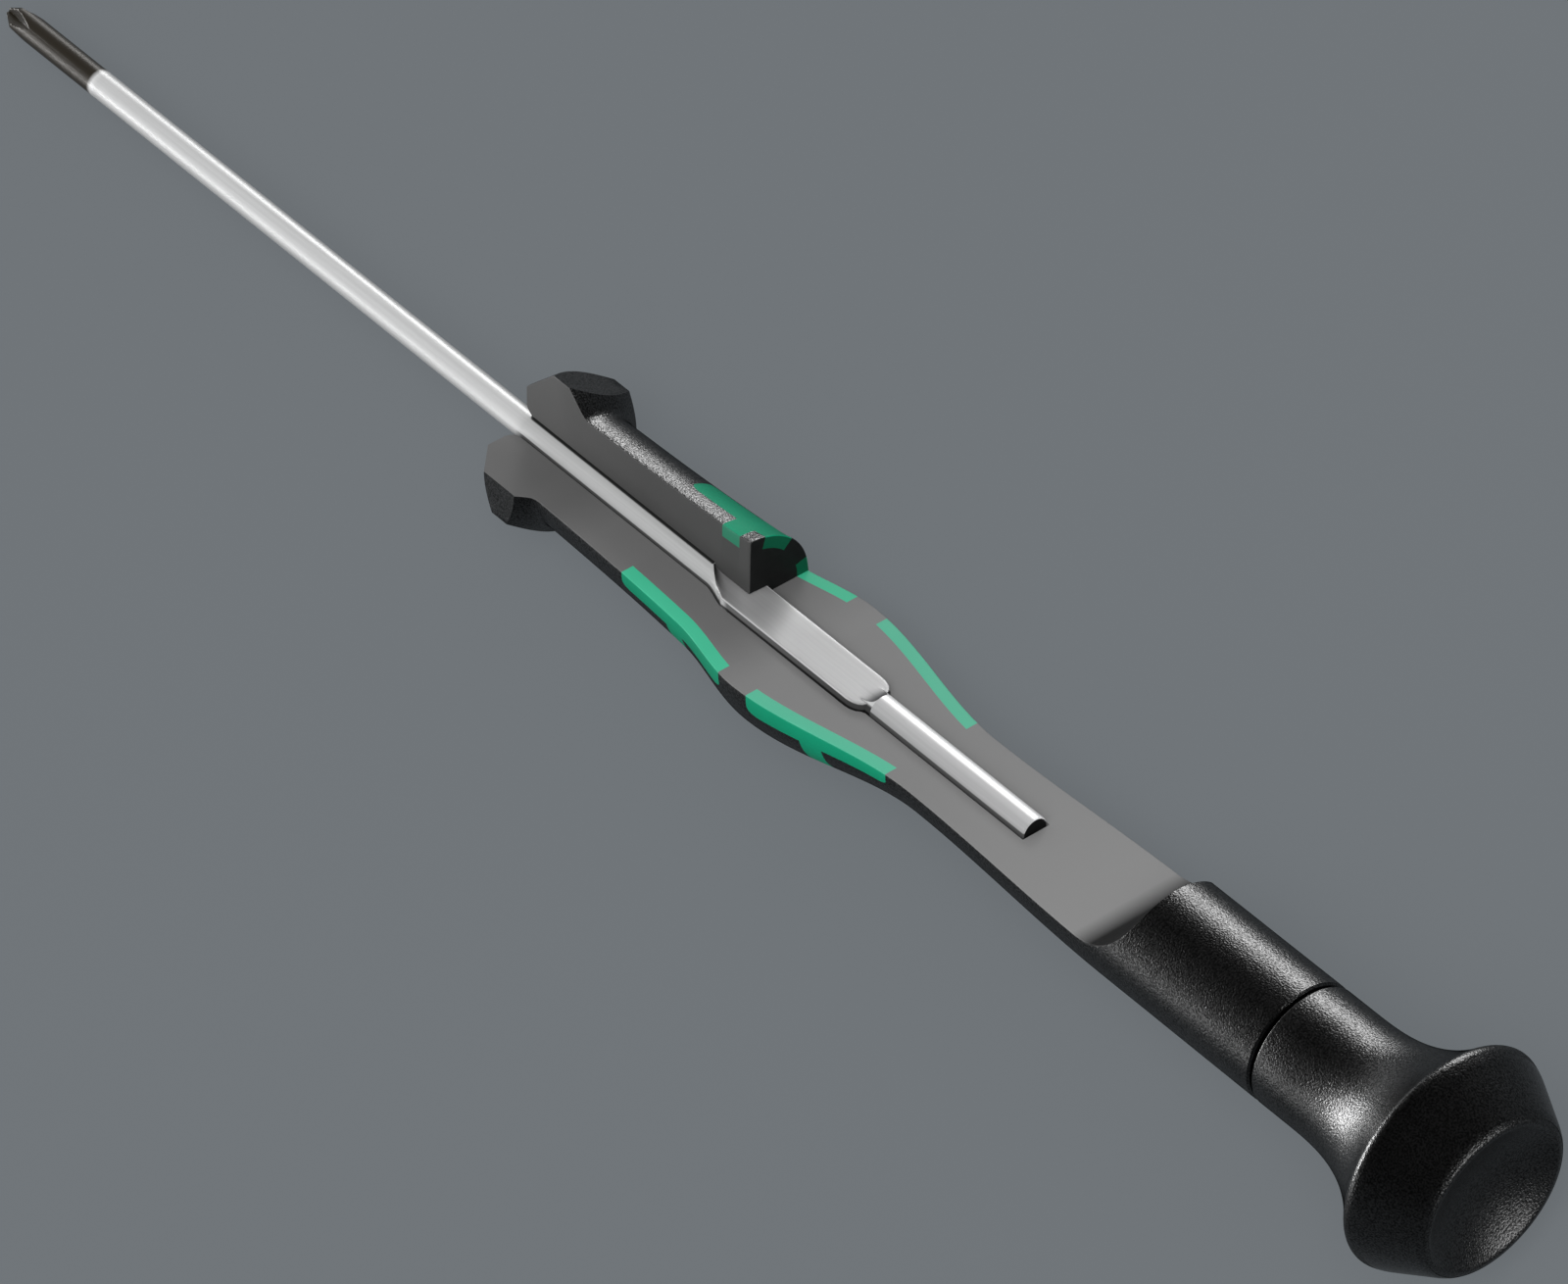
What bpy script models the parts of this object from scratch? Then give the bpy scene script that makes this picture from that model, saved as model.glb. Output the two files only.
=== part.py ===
"""Precision screwdriver with a cut-away handle, in metres.

Every piece is drawn in the section frame: X runs along the tool axis from the nose of the handle towards
the cap, with zero at the nose's front face, and Z stands square on the main section plane. Two empties on
the tool axis then carry the pieces: they roll the tool so that it lies on one of its anti-roll flats, and
put the world origin half-way along it.
"""

import math

import bmesh
import bpy
from mathutils import Matrix, Vector

MM = 0.001

# Blade: a round rod with a cross point, pressed flat inside the handle so that it can't turn there
BLADE_DIAMETER = 2.1 * MM
BLADE_REACH = 60.0 * MM
BLADE_SEAT = 53.2 * MM
BLADE_END_CHAMFER = 0.08 * MM
POINT_LENGTH = 1.25 * MM
POINT_DIAMETER = 0.7 * MM
FLUTE_LENGTH = 3.3 * MM
FLUTE_ROOT = 0.16 * MM
WING_START = 20.95 * MM
WING_END = 37.7 * MM
WING_WIDTH = 3.3 * MM
WING_THICKNESS = 1.2 * MM
WING_STEP = 0.9 * MM
WING_SPREAD = 2.3 * MM
WING_RAMP = 1.5 * MM
WING_TAPER = 2.4 * MM

# Handle: stations along the axis, with the radius or diameter at each
NOSE_FACE_DIAMETER = 6.9 * MM
NOSE_DIAMETER = 12.5 * MM
NOSE_CHAMFER = 2.9 * MM
NOSE_LENGTH = 4.5 * MM
NOSE_BACK_CONE = 1.4 * MM
FLATS_ACROSS = 11.0 * MM
MOUTH_ROUND = 0.8 * MM
NECK_AT = 7.2 * MM
NECK_RADIUS = 4.48 * MM
NECK_SLOPE = 0.02
FOOT_AT = 22.4 * MM
FOOT_RADIUS = 5.06 * MM
FOOT_SLOPE = 0.07
SWELL_AT = 29.6 * MM
SWELL_RADIUS = 6.27 * MM
WAIST_AT = 45.0 * MM
WAIST_RADIUS = 3.92 * MM
REAR_AT = 64.0 * MM
REAR_RADIUS = 4.56 * MM
HANDLE_END = 78.95 * MM
SPIGOT_RADIUS = 3.1 * MM
SPIGOT_LENGTH = 1.6 * MM
GAP_EDGE = 0.15 * MM

# Soft grip: two rows of pads, one on each slope of the swell
PAD_COUNT = 6
PAD_ANGLE = math.radians(35.0)
PAD_DEPTH = 1.0 * MM
PAD_CORNER = 0.9 * MM
CREST_BAND = 2.9 * MM
CREST_OFFSET = 0.05 * MM
FRONT_PAD_LENGTH = 12.1 * MM
REAR_PAD_LENGTH = 11.9 * MM
BRIDGE_WIDTH = 1.8 * MM
FRONT_BRIDGE_AT = 5.8 * MM
REAR_BRIDGE_AT = 5.3 * MM

# Cut-away: the upper half is open up to a curved run-out, but the far upper quarter stands at the front
QUARTER_END = 23.9 * MM
RUNOUT_AT = 62.05 * MM
RUNOUT_RADIUS = 4.7 * MM

# Cap: lengths are measured from its front face
CAP_LENGTH = 17.75 * MM
CAP_SLEEVE = 2.75 * MM
CAP_FLARE = 10.1 * MM
CAP_FLARE_POWER = 2.75
CAP_RIM_RADIUS = 8.45 * MM
CAP_RIM_WIDTH = 0.9 * MM
CAP_RIM_DROP = 0.25 * MM
CAP_RIM_ROUND = 0.5 * MM
CAP_RIM_EDGE = 0.22 * MM
DISH_RADIUS = 5.7 * MM
DISH_DEPTH = 1.7 * MM
DISH_LIP = 0.45 * MM

# Cap bearing, inside the cap and the handle's uncut rear
PIN_DIAMETER = 2.5 * MM
PIN_SEAT = 9.0 * MM
PIN_CHAMFER = 0.3 * MM
PIN_TIP = 1.4 * MM
BUSH_WALL = 0.8 * MM
BUSH_LENGTH = 6.2 * MM
WASHER_THICKNESS = 0.5 * MM
RING_WIRE = 0.6 * MM
RING_GROOVE = 0.35 * MM
RING_OPENING = math.radians(40.0)

# Clearances: moulded or pressed fits, and fits that turn
SEAT_GAP = 0.1 * MM
RUN_GAP = 0.3 * MM

# Facets round the axis, turned half a facet so that no section plane meets an edge line
ROUND_STEPS = 48
BEARING_STEPS = 32
SHARP_EDGE = math.radians(35.0)

# Points of one quarter of the blade's section, as shares of the angle up to the wing's corner and beyond it
SIDE_SHARES = (0.25, 0.65, 1.0)
TOP_SHARES = (0.28, 0.56, 0.85)

# Steps along curves
SAMPLE_LENGTH = 1.8 * MM
FLUTE_STEPS = 5
WING_STEPS = 5
SPREAD_STEPS = 2
CORNER_STEPS = 4
EDGE_STEPS = 3
RUNOUT_STEPS = 10
FLARE_STEPS = 9
DISH_STEPS = 6
WIRE_STEPS = 24
WIRE_ROUNDING = 2

# How far a cutter reaches past what it cuts, and how far a flute's cutter runs on as a share of the flute
OVERCUT = 3.0 * MM
FLUTE_OVERRUN = 1.2

# Places that follow from the sizes above
BLADE_RADIUS = BLADE_DIAMETER / 2
SPIGOT_END = HANDLE_END + SPIGOT_LENGTH
WASHER_START = SPIGOT_END + SEAT_GAP
CAP_FRONT = HANDLE_END + RUN_GAP
CAP_FLOOR = WASHER_START + WASHER_THICKNESS + RUN_GAP
CAP_END = CAP_FRONT + CAP_LENGTH
PIN_RADIUS = PIN_DIAMETER / 2
BUSH_BORE = PIN_RADIUS + SEAT_GAP
BUSH_RADIUS = BUSH_BORE + BUSH_WALL
BUSH_START = CAP_FLOOR + SEAT_GAP
BUSH_END = BUSH_START + BUSH_LENGTH
GROOVE_START = BUSH_END + RUN_GAP
GROOVE_END = GROOVE_START + RING_WIRE + 2 * SEAT_GAP
PIN_START = HANDLE_END - PIN_SEAT
PIN_END = GROOVE_END + PIN_TIP
CAP_BORE_END = PIN_END + RUN_GAP
TOOL_MIDDLE = (CAP_END - BLADE_REACH) / 2
LYING_ROLL = math.radians(-30.0)

# The grip's curve as (x, radius, slope); it leaves the nose's 45-degree back cone without a kink
GRIP_STATIONS = (
    (NOSE_LENGTH + NOSE_BACK_CONE, NOSE_DIAMETER / 2 - NOSE_BACK_CONE, -1.0),
    (NECK_AT, NECK_RADIUS, NECK_SLOPE),
    (FOOT_AT, FOOT_RADIUS, FOOT_SLOPE),
    (SWELL_AT, SWELL_RADIUS, 0.0),
    (WAIST_AT, WAIST_RADIUS, 0.0),
    (REAR_AT, REAR_RADIUS, 0.0),
)


def clear_scene():
    for thing in list(bpy.data.objects):
        bpy.data.objects.remove(thing, do_unlink=True)


def make_collection(name):
    collection = bpy.data.collections.new(name)
    bpy.context.scene.collection.children.link(collection)
    return collection


def make_material(name, colour, roughness, metallic):
    material = bpy.data.materials.new(name)
    material.use_nodes = True
    shader = material.node_tree.nodes["Principled BSDF"]
    shader.inputs["Base Color"].default_value = (*colour, 1.0)
    shader.inputs["Roughness"].default_value = roughness
    shader.inputs["Metallic"].default_value = metallic
    return material


def add_object(name, mesh, collection):
    thing = bpy.data.objects.new(name, mesh)
    collection.objects.link(thing)
    return thing


def add_cutter(name, mesh):
    cutter = add_object(name, mesh, CUTTERS)
    cutter.hide_render = True
    cutter.display_type = "WIRE"
    return cutter


def apply_modifiers(thing):
    """Keep the evaluated shape as the object's own mesh."""
    bpy.context.view_layer.update()
    evaluated = thing.evaluated_get(bpy.context.evaluated_depsgraph_get())
    mesh = bpy.data.meshes.new_from_object(evaluated)
    thing.modifiers.clear()
    old_mesh = thing.data
    thing.data = mesh
    bpy.data.meshes.remove(old_mesh)
    mesh.name = thing.name


def combine(thing, operation, *others):
    for other in others:
        boolean = thing.modifiers.new(other.name, "BOOLEAN")
        boolean.operation = operation
        boolean.solver = "EXACT"
        boolean.object = other
    apply_modifiers(thing)


def face_outward(mesh):
    shape = bmesh.new()
    shape.from_mesh(mesh)
    bmesh.ops.recalc_face_normals(shape, faces=shape.faces)
    shape.to_mesh(mesh)
    shape.free()


def finish_piece(thing, material):
    thing.data.materials.clear()
    thing.data.materials.append(material)
    thing.data.shade_smooth()
    thing.data.set_sharp_from_angle(angle=SHARP_EDGE)


def turned(name, outline, collection, steps=ROUND_STEPS, ring=False):
    """Turn an outline of (x, radius) points about the tool axis; a ring's outline closes on itself."""
    phase = math.pi / steps
    mesh = bpy.data.meshes.new(name)
    points = [(x, radius * math.cos(phase), radius * math.sin(phase)) for x, radius in outline]
    edges = [(i, i + 1) for i in range(len(points) - 1)]
    if ring:
        edges.append((len(points) - 1, 0))
    mesh.from_pydata(points, edges, [])
    thing = add_object(name, mesh, collection)
    screw = thing.modifiers.new("turn", "SCREW")
    screw.axis = "X"
    screw.angle = math.tau
    screw.steps = steps
    screw.render_steps = steps
    screw.use_merge_vertices = True
    screw.merge_threshold = 0.001 * MM
    apply_modifiers(thing)
    face_outward(thing.data)
    if collection is CUTTERS:
        thing.hide_render = True
        thing.display_type = "WIRE"
    return thing


def skin(shape, sections):
    """Skin a row of rings that all have the same number of points, and close both ends."""
    rings = [[shape.verts.new(point) for point in section] for section in sections]
    for ring, following in zip(rings, rings[1:]):
        for i in range(len(ring)):
            j = (i + 1) % len(ring)
            shape.faces.new((ring[i], ring[j], following[j], following[i]))
    shape.faces.new(rings[0])
    shape.faces.new(rings[-1])


def lofted(name, bodies, collection):
    """One object from one or more rows of rings."""
    shape = bmesh.new()
    for sections in bodies:
        skin(shape, sections)
    bmesh.ops.recalc_face_normals(shape, faces=shape.faces)
    mesh = bpy.data.meshes.new(name)
    shape.to_mesh(mesh)
    shape.free()
    return add_cutter(name, mesh) if collection is CUTTERS else add_object(name, mesh, collection)


def sweep_between(start, end, count):
    return [start + (end - start) * i / count for i in range(count + 1)]


def ease(x, start, end):
    """Rise smoothly from 0 at start to 1 at end."""
    share = min(max((x - start) / (end - start), 0.0), 1.0)
    return share * share * (3 - 2 * share)


def hollow(share):
    """Height of a hollow quarter round: 1 and steep at share 0, 0 and level at share 1."""
    share = min(max(share, 0.0), 1.0)
    return 1 - math.sqrt(1 - (1 - share) ** 2)


def round_corner(before, corner, after, reach):
    """Points of a smooth curve that starts and ends reach short of a corner."""
    corner = Vector(corner)
    start = corner + reach * (Vector(before) - corner).normalized()
    end = corner + reach * (Vector(after) - corner).normalized()
    curve = [start.lerp(corner, t).lerp(corner.lerp(end, t), t) for t in sweep_between(0.0, 1.0, EDGE_STEPS)]
    return [tuple(point) for point in curve]


def hermite(x, start, end):
    """Radius at x on the smooth curve between two (x, radius, slope) stations."""
    span = end[0] - start[0]
    t = (x - start[0]) / span
    from_start = (1 + 2 * t) * (1 - t) ** 2 * start[1] + t * (1 - t) ** 2 * span * start[2]
    from_end = t * t * (3 - 2 * t) * end[1] + t * t * (t - 1) * span * end[2]
    return from_start + from_end


def grip_radius(x):
    for start, end in zip(GRIP_STATIONS, GRIP_STATIONS[1:]):
        if x <= end[0]:
            return hermite(x, start, end)
    return REAR_RADIUS


def grip_samples(start, end):
    """Stations for the grip's curve between start and end, both included."""
    count = max(2, round((end - start) / SAMPLE_LENGTH))
    return sweep_between(start, end, count)


def wing_half_width(x):
    narrow = math.sqrt(BLADE_RADIUS ** 2 - (WING_THICKNESS / 2) ** 2)
    widen = ease(x, WING_START, WING_START + WING_SPREAD) - hollow((WING_END - x) / WING_TAPER)
    return narrow + (WING_WIDTH / 2 - narrow) * max(widen, 0.0)


def rod_half_height(x):
    """Height at which the pressed flats cut the round rod."""
    flat = WING_THICKNESS / 2
    uncut = max(hollow((x - WING_START) / WING_STEP), hollow((WING_END - x) / WING_RAMP))
    return flat + (BLADE_RADIUS - flat) * uncut


def blade_radius(x, angle):
    """Radius of the blade's section: the rod, cut by the flats and widened by the wings between them."""
    across, upward = abs(math.cos(angle)), abs(math.sin(angle))
    rod = min(BLADE_RADIUS, rod_half_height(x) / upward)
    wing = min(wing_half_width(x) / across, WING_THICKNESS / 2 / upward)
    return max(rod, wing)


def section_angles(x):
    """Angles round the blade's section, with one on each corner of the wings."""
    corner = math.atan2(WING_THICKNESS / 2, wing_half_width(x))
    quarter = [corner * share for share in SIDE_SHARES]
    quarter += [corner + (math.pi / 2 - corner) * share for share in TOP_SHARES]
    half = quarter + [math.pi - angle for angle in reversed(quarter)]
    return half + [math.pi + angle for angle in half]


def blade_ring(x, gap):
    """Section of the blade at x, grown by gap."""
    ring = []
    for angle in section_angles(x):
        radius = blade_radius(x, angle) + gap
        ring.append((x, radius * math.cos(angle), radius * math.sin(angle)))
    return ring


def round_ring(x, radius):
    return [(x, radius * math.cos(angle), radius * math.sin(angle)) for angle in section_angles(x)]


def wing_stations():
    """Stations along the wings, gathered where their ends curve most."""
    bends = [1 - math.cos(angle) for angle in sweep_between(0.0, math.pi / 2, WING_STEPS)]
    front = [WING_START + WING_STEP * bend for bend in bends]
    front += sweep_between(WING_START + WING_STEP, WING_START + WING_SPREAD, SPREAD_STEPS)[1:]
    rear = [WING_END - WING_TAPER * bend for bend in reversed(bends)]
    return front + rear


def flute_cutter():
    """Four V grooves that rise from the point's web in a curve and run out on the rod."""
    side = BLADE_DIAMETER
    stations = [(-BLADE_REACH - OVERCUT, FLUTE_ROOT)]
    for share in sweep_between(0.0, FLUTE_OVERRUN, FLUTE_STEPS):
        root = FLUTE_ROOT + (BLADE_RADIUS - FLUTE_ROOT) * share ** 2
        stations.append((-BLADE_REACH + FLUTE_LENGTH * share, root))
    bodies = []
    for quarter in range(4):
        turn = Matrix.Rotation(math.pi / 4 + quarter * math.pi / 2, 3, "X")
        corners = ((0.0, 0.0), (side, side), (0.0, 2 * side), (-side, side))
        bodies.append([[turn @ Vector((x, y, root + z)) for y, z in corners] for x, root in stations])
    return lofted("flute_cutter", bodies, CUTTERS)


def build_blade():
    point_end = -BLADE_REACH + POINT_LENGTH
    sections = [round_ring(-BLADE_REACH, POINT_DIAMETER / 2), round_ring(point_end, BLADE_RADIUS)]
    sections += [round_ring(point_end + FLUTE_LENGTH, BLADE_RADIUS)]
    sections += [blade_ring(x, 0.0) for x in wing_stations()]
    sections += [round_ring(BLADE_SEAT - BLADE_END_CHAMFER, BLADE_RADIUS)]
    sections += [round_ring(BLADE_SEAT, BLADE_RADIUS - BLADE_END_CHAMFER)]
    blade = lofted("blade", [sections], PIECES)
    combine(blade, "DIFFERENCE", flute_cutter())
    finish_piece(blade, make_material("satin_steel", (0.78, 0.79, 0.79), 0.3, 1.0))
    return blade


def blade_cavity():
    """The blade's own shape, grown by the moulding clearance and run out through the nose."""
    sections = [round_ring(-OVERCUT, BLADE_RADIUS + SEAT_GAP)]
    sections += [blade_ring(x, SEAT_GAP) for x in wing_stations()]
    sections += [round_ring(BLADE_SEAT + SEAT_GAP, BLADE_RADIUS + SEAT_GAP)]
    return lofted("blade_cavity", [sections], CUTTERS)


def mouth_cutter():
    """Rounds the edge of the blade's hole in the nose."""
    hole = BLADE_RADIUS + SEAT_GAP
    outline = [(-OVERCUT, 0.0), (-OVERCUT, hole + MOUTH_ROUND)]
    for angle in sweep_between(0.0, math.pi / 2, CORNER_STEPS):
        outline.append((MOUTH_ROUND * (1 - math.cos(angle)), hole + MOUTH_ROUND * (1 - math.sin(angle))))
    outline.append((MOUTH_ROUND, 0.0))
    return turned("mouth_cutter", outline, CUTTERS, BEARING_STEPS)


def hexagon_cutter():
    """A ring with a six-sided hole, which leaves the anti-roll flats on the nose."""
    outer = NOSE_DIAMETER / 2 + OVERCUT
    inner = NECK_RADIUS
    back = NOSE_LENGTH + NOSE_BACK_CONE
    outline = [(-OVERCUT, inner), (-OVERCUT, outer), (back, outer), (back, inner)]
    ring = turned("hexagon_cutter", outline, CUTTERS, ring=True)
    length = 2 * (back + 2 * OVERCUT)
    prism = bmesh.new()
    corner_radius = FLATS_ACROSS / 2 / math.cos(math.pi / PAD_COUNT)
    flat_to_pad = Matrix.Rotation(math.pi / PAD_COUNT, 4, "X")
    along_axis = flat_to_pad @ Matrix.Rotation(math.pi / 2, 4, "Y")
    bmesh.ops.create_cone(prism, cap_ends=True, segments=PAD_COUNT, radius1=corner_radius,
                          radius2=corner_radius, depth=length, matrix=along_axis)
    mesh = bpy.data.meshes.new("hexagon_prism")
    prism.to_mesh(mesh)
    prism.free()
    combine(ring, "DIFFERENCE", add_cutter("hexagon_prism", mesh))
    return ring


def row_span(row):
    """First and last station of a row of pads: they stand a band's width apart on the swell's crest."""
    crest = SWELL_AT + CREST_OFFSET
    if row == "front":
        return crest - CREST_BAND / 2 - FRONT_PAD_LENGTH, crest - CREST_BAND / 2
    return crest + CREST_BAND / 2, crest + CREST_BAND / 2 + REAR_PAD_LENGTH


def pad_outline(start, end, half_width, corner):
    """Rounded rectangle as (x, width) points."""
    outline = []
    centres = ((end - corner, half_width - corner, 0.0), (start + corner, half_width - corner, 0.5),
               (start + corner, corner - half_width, 1.0), (end - corner, corner - half_width, 1.5))
    for x, width, turn in centres:
        for angle in sweep_between(turn * math.pi, (turn + 0.5) * math.pi, CORNER_STEPS):
            outline.append((x + corner * math.cos(angle), width + corner * math.sin(angle)))
    return outline


def pads_cutter(row, gap):
    """Six wedges whose sides run to the tool axis, joined by the band that bridges them."""
    start, end = row_span(row)
    name = row + "_pads_" + ("pocket" if gap else "outline")
    inner = WAIST_RADIUS / 2
    outer = SWELL_RADIUS + OVERCUT
    outline = pad_outline(start - gap, end + gap, outer * math.tan(PAD_ANGLE / 2) + gap, PAD_CORNER)
    wedges = []
    for pad in range(PAD_COUNT):
        roll = Matrix.Rotation(math.tau * pad / PAD_COUNT, 3, "X")
        wedges.append([[roll @ Vector((x, height, width * height / outer)) for x, width in outline]
                       for height in (inner, outer)])
    cutter = lofted(name, wedges, CUTTERS)
    middle = start + (FRONT_BRIDGE_AT if row == "front" else REAR_BRIDGE_AT)
    low, high = middle - BRIDGE_WIDTH / 2 - gap, middle + BRIDGE_WIDTH / 2 + gap
    root, reach = inner + SEAT_GAP, outer - SEAT_GAP
    band = [(low, root), (low, reach), (high, reach), (high, root)]
    combine(cutter, "UNION", turned(name + "_bridge", band, CUTTERS, ring=True))
    return cutter


def skin_band(name, row, gap, overcut, collection):
    """Ring under the grip's surface, as deep as the pads, over the length of one row."""
    start, end = row_span(row)
    stations = grip_samples(start - gap - overcut, end + gap + overcut)
    outer = [(x, grip_radius(x) + overcut) for x in stations]
    inner = [(x, grip_radius(x) - PAD_DEPTH - gap) for x in reversed(stations)]
    return turned(name, outer + inner, collection, ring=True)


def cutaway_cutters():
    """What is cut out of the handle and the grips: the open half, and the near quarter ahead of it."""
    reach = SWELL_RADIUS + OVERCUT
    outline = [(QUARTER_END, 0.0)]
    for angle in sweep_between(0.0, math.pi / 2, RUNOUT_STEPS):
        outline.append((RUNOUT_AT + RUNOUT_RADIUS * math.sin(angle), RUNOUT_RADIUS * (1 - math.cos(angle))))
    outline += [(RUNOUT_AT + RUNOUT_RADIUS, reach), (QUARTER_END, reach)]
    half = [[(x, side, z) for x, z in outline] for side in (-reach, reach)]
    quarter = [[(x, -reach, 0.0), (x, 0.0, 0.0), (x, 0.0, reach), (x, -reach, reach)]
               for x in (-OVERCUT, QUARTER_END + OVERCUT)]
    open_half = lofted("open_half", [half], CUTTERS)
    near_quarter = lofted("near_quarter", [quarter], CUTTERS)
    combine(open_half, "UNION", near_quarter)
    return open_half


def pin_bore():
    radius = PIN_RADIUS + SEAT_GAP
    start = PIN_START - SEAT_GAP
    outline = [(start, 0.0), (start, radius), (SPIGOT_END + OVERCUT, radius), (SPIGOT_END + OVERCUT, 0.0)]
    return turned("pin_bore", outline, CUTTERS, BEARING_STEPS)


def handle_outline():
    outline = [(0.0, 0.0), (0.0, NOSE_FACE_DIAMETER / 2), (NOSE_CHAMFER, NOSE_DIAMETER / 2),
               (NOSE_LENGTH, NOSE_DIAMETER / 2)]
    for start, end in zip(GRIP_STATIONS, GRIP_STATIONS[1:]):
        outline += [(x, grip_radius(x)) for x in grip_samples(start[0], end[0])[:-1]]
    outline += [(REAR_AT, REAR_RADIUS), (HANDLE_END - GAP_EDGE, REAR_RADIUS),
                (HANDLE_END, REAR_RADIUS - GAP_EDGE), (HANDLE_END, SPIGOT_RADIUS),
                (SPIGOT_END, SPIGOT_RADIUS), (SPIGOT_END, 0.0)]
    return outline


def build_handle_core(cutaway):
    core = turned("handle_core", handle_outline(), PIECES)
    pockets = []
    for row in ("front", "rear"):
        pocket = skin_band(row + "_pocket", row, SEAT_GAP, OVERCUT, CUTTERS)
        combine(pocket, "INTERSECT", pads_cutter(row, SEAT_GAP))
        pockets.append(pocket)
    combine(core, "DIFFERENCE", hexagon_cutter(), *pockets)
    combine(core, "DIFFERENCE", mouth_cutter(), blade_cavity(), pin_bore(), cutaway)
    finish_piece(core, make_material("black_hard_plastic", (0.02, 0.02, 0.021), 0.55, 0.0))
    return core


def build_soft_grip(row, cutaway, material):
    grip = skin_band(row + "_soft_grip", row, 0.0, 0.0, PIECES)
    combine(grip, "INTERSECT", pads_cutter(row, 0.0))
    combine(grip, "DIFFERENCE", cutaway)
    finish_piece(grip, material)
    return grip


def flare_outline(start):
    """The cap's trumpet from the rim's front down to the sleeve."""
    outline = []
    for share in sweep_between(1.0, 0.0, FLARE_STEPS):
        rise = (CAP_RIM_RADIUS - REAR_RADIUS) * share ** CAP_FLARE_POWER
        outline.append((start + CAP_FLARE * share, REAR_RADIUS + rise))
    return outline


def cap_outline():
    """From the dish's centre over the rim and the flare to the front face, then into the stepped bore."""
    outline = []
    for radius in sweep_between(0.0, DISH_RADIUS, DISH_STEPS):
        outline.append((CAP_END - DISH_DEPTH * (1 - (radius / DISH_RADIUS) ** 2), radius))
    shoulder = (CAP_END - DISH_LIP / 2, DISH_RADIUS + DISH_LIP)
    outline += [(CAP_END, DISH_RADIUS + DISH_LIP / 2), shoulder]
    flare = flare_outline(CAP_FRONT + CAP_SLEEVE)
    rim_front = flare[0]
    rim_back = (rim_front[0] + CAP_RIM_WIDTH, CAP_RIM_RADIUS - CAP_RIM_DROP)
    outline += round_corner(shoulder, rim_back, rim_front, CAP_RIM_ROUND)
    outline += round_corner(rim_back, rim_front, flare[1], CAP_RIM_EDGE)
    outline += flare[1:]
    recess = SPIGOT_RADIUS + RUN_GAP
    bore = BUSH_RADIUS + SEAT_GAP
    outline += [(CAP_FRONT + GAP_EDGE, REAR_RADIUS), (CAP_FRONT, REAR_RADIUS - GAP_EDGE), (CAP_FRONT, recess),
                (CAP_FLOOR, recess), (CAP_FLOOR, bore), (CAP_BORE_END, bore), (CAP_BORE_END, 0.0)]
    return outline


def build_swivel_cap():
    cap = turned("swivel_cap", cap_outline(), PIECES)
    finish_piece(cap, make_material("black_cap_plastic", (0.015, 0.015, 0.016), 0.5, 0.0))
    return cap


def build_cap_bearing_bush():
    outline = [(BUSH_START, BUSH_BORE), (BUSH_START, BUSH_RADIUS),
               (BUSH_END, BUSH_RADIUS), (BUSH_END, BUSH_BORE)]
    bush = turned("cap_bearing_bush", outline, PIECES, BEARING_STEPS, ring=True)
    finish_piece(bush, make_material("bearing_bronze", (0.62, 0.42, 0.2), 0.35, 1.0))
    return bush


def build_cap_pivot_pin():
    floor = PIN_RADIUS - RING_GROOVE
    outline = [(PIN_START, 0.0), (PIN_START, PIN_RADIUS - PIN_CHAMFER),
               (PIN_START + PIN_CHAMFER, PIN_RADIUS), (GROOVE_START, PIN_RADIUS), (GROOVE_START, floor),
               (GROOVE_END, floor), (GROOVE_END, PIN_RADIUS), (PIN_END, floor), (PIN_END, 0.0)]
    pin = turned("cap_pivot_pin", outline, PIECES, BEARING_STEPS)
    finish_piece(pin, make_material("pin_steel", (0.62, 0.63, 0.65), 0.28, 1.0))
    return pin


def build_cap_retaining_ring():
    """Split wire ring lying in the pin's groove."""
    wire = bpy.data.curves.new("cap_retaining_ring", "CURVE")
    wire.dimensions = "3D"
    wire.bevel_depth = RING_WIRE / 2
    wire.bevel_resolution = WIRE_ROUNDING
    wire.use_fill_caps = True
    radius = PIN_RADIUS - RING_GROOVE + SEAT_GAP + RING_WIRE / 2
    station = (GROOVE_START + GROOVE_END) / 2
    angles = sweep_between(RING_OPENING / 2, math.tau - RING_OPENING / 2, WIRE_STEPS)
    spline = wire.splines.new("POLY")
    spline.points.add(len(angles) - 1)
    for point, angle in zip(spline.points, angles):
        point.co = (station, radius * math.cos(angle), radius * math.sin(angle), 1.0)
    ring = add_object("cap_retaining_ring", wire, PIECES)
    ring.data.materials.append(make_material("spring_steel", (0.4, 0.4, 0.42), 0.3, 1.0))
    return ring


def build_cap_thrust_washer():
    inner = PIN_RADIUS + SEAT_GAP
    outer = SPIGOT_RADIUS - SEAT_GAP
    end = WASHER_START + WASHER_THICKNESS
    outline = [(WASHER_START, inner), (WASHER_START, outer), (end, outer), (end, inner)]
    washer = turned("cap_thrust_washer", outline, PIECES, BEARING_STEPS, ring=True)
    finish_piece(washer, make_material("washer_polymer", (0.8, 0.78, 0.72), 0.4, 0.0))
    return washer


def add_empty(name, parent=None):
    empty = bpy.data.objects.new(name, None)
    empty.empty_display_size = REAR_RADIUS
    PIECES.objects.link(empty)
    empty.parent = parent
    return empty


clear_scene()
PIECES = make_collection("precision_screwdriver")
CUTTERS = make_collection("cutters")

CUTAWAY = cutaway_cutters()
SOFT_GREEN = make_material("green_soft_plastic", (0.03, 0.43, 0.24), 0.6, 0.0)

tool_axis = add_empty("tool_axis")
cap_axis = add_empty("cap_axis", tool_axis)

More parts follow.
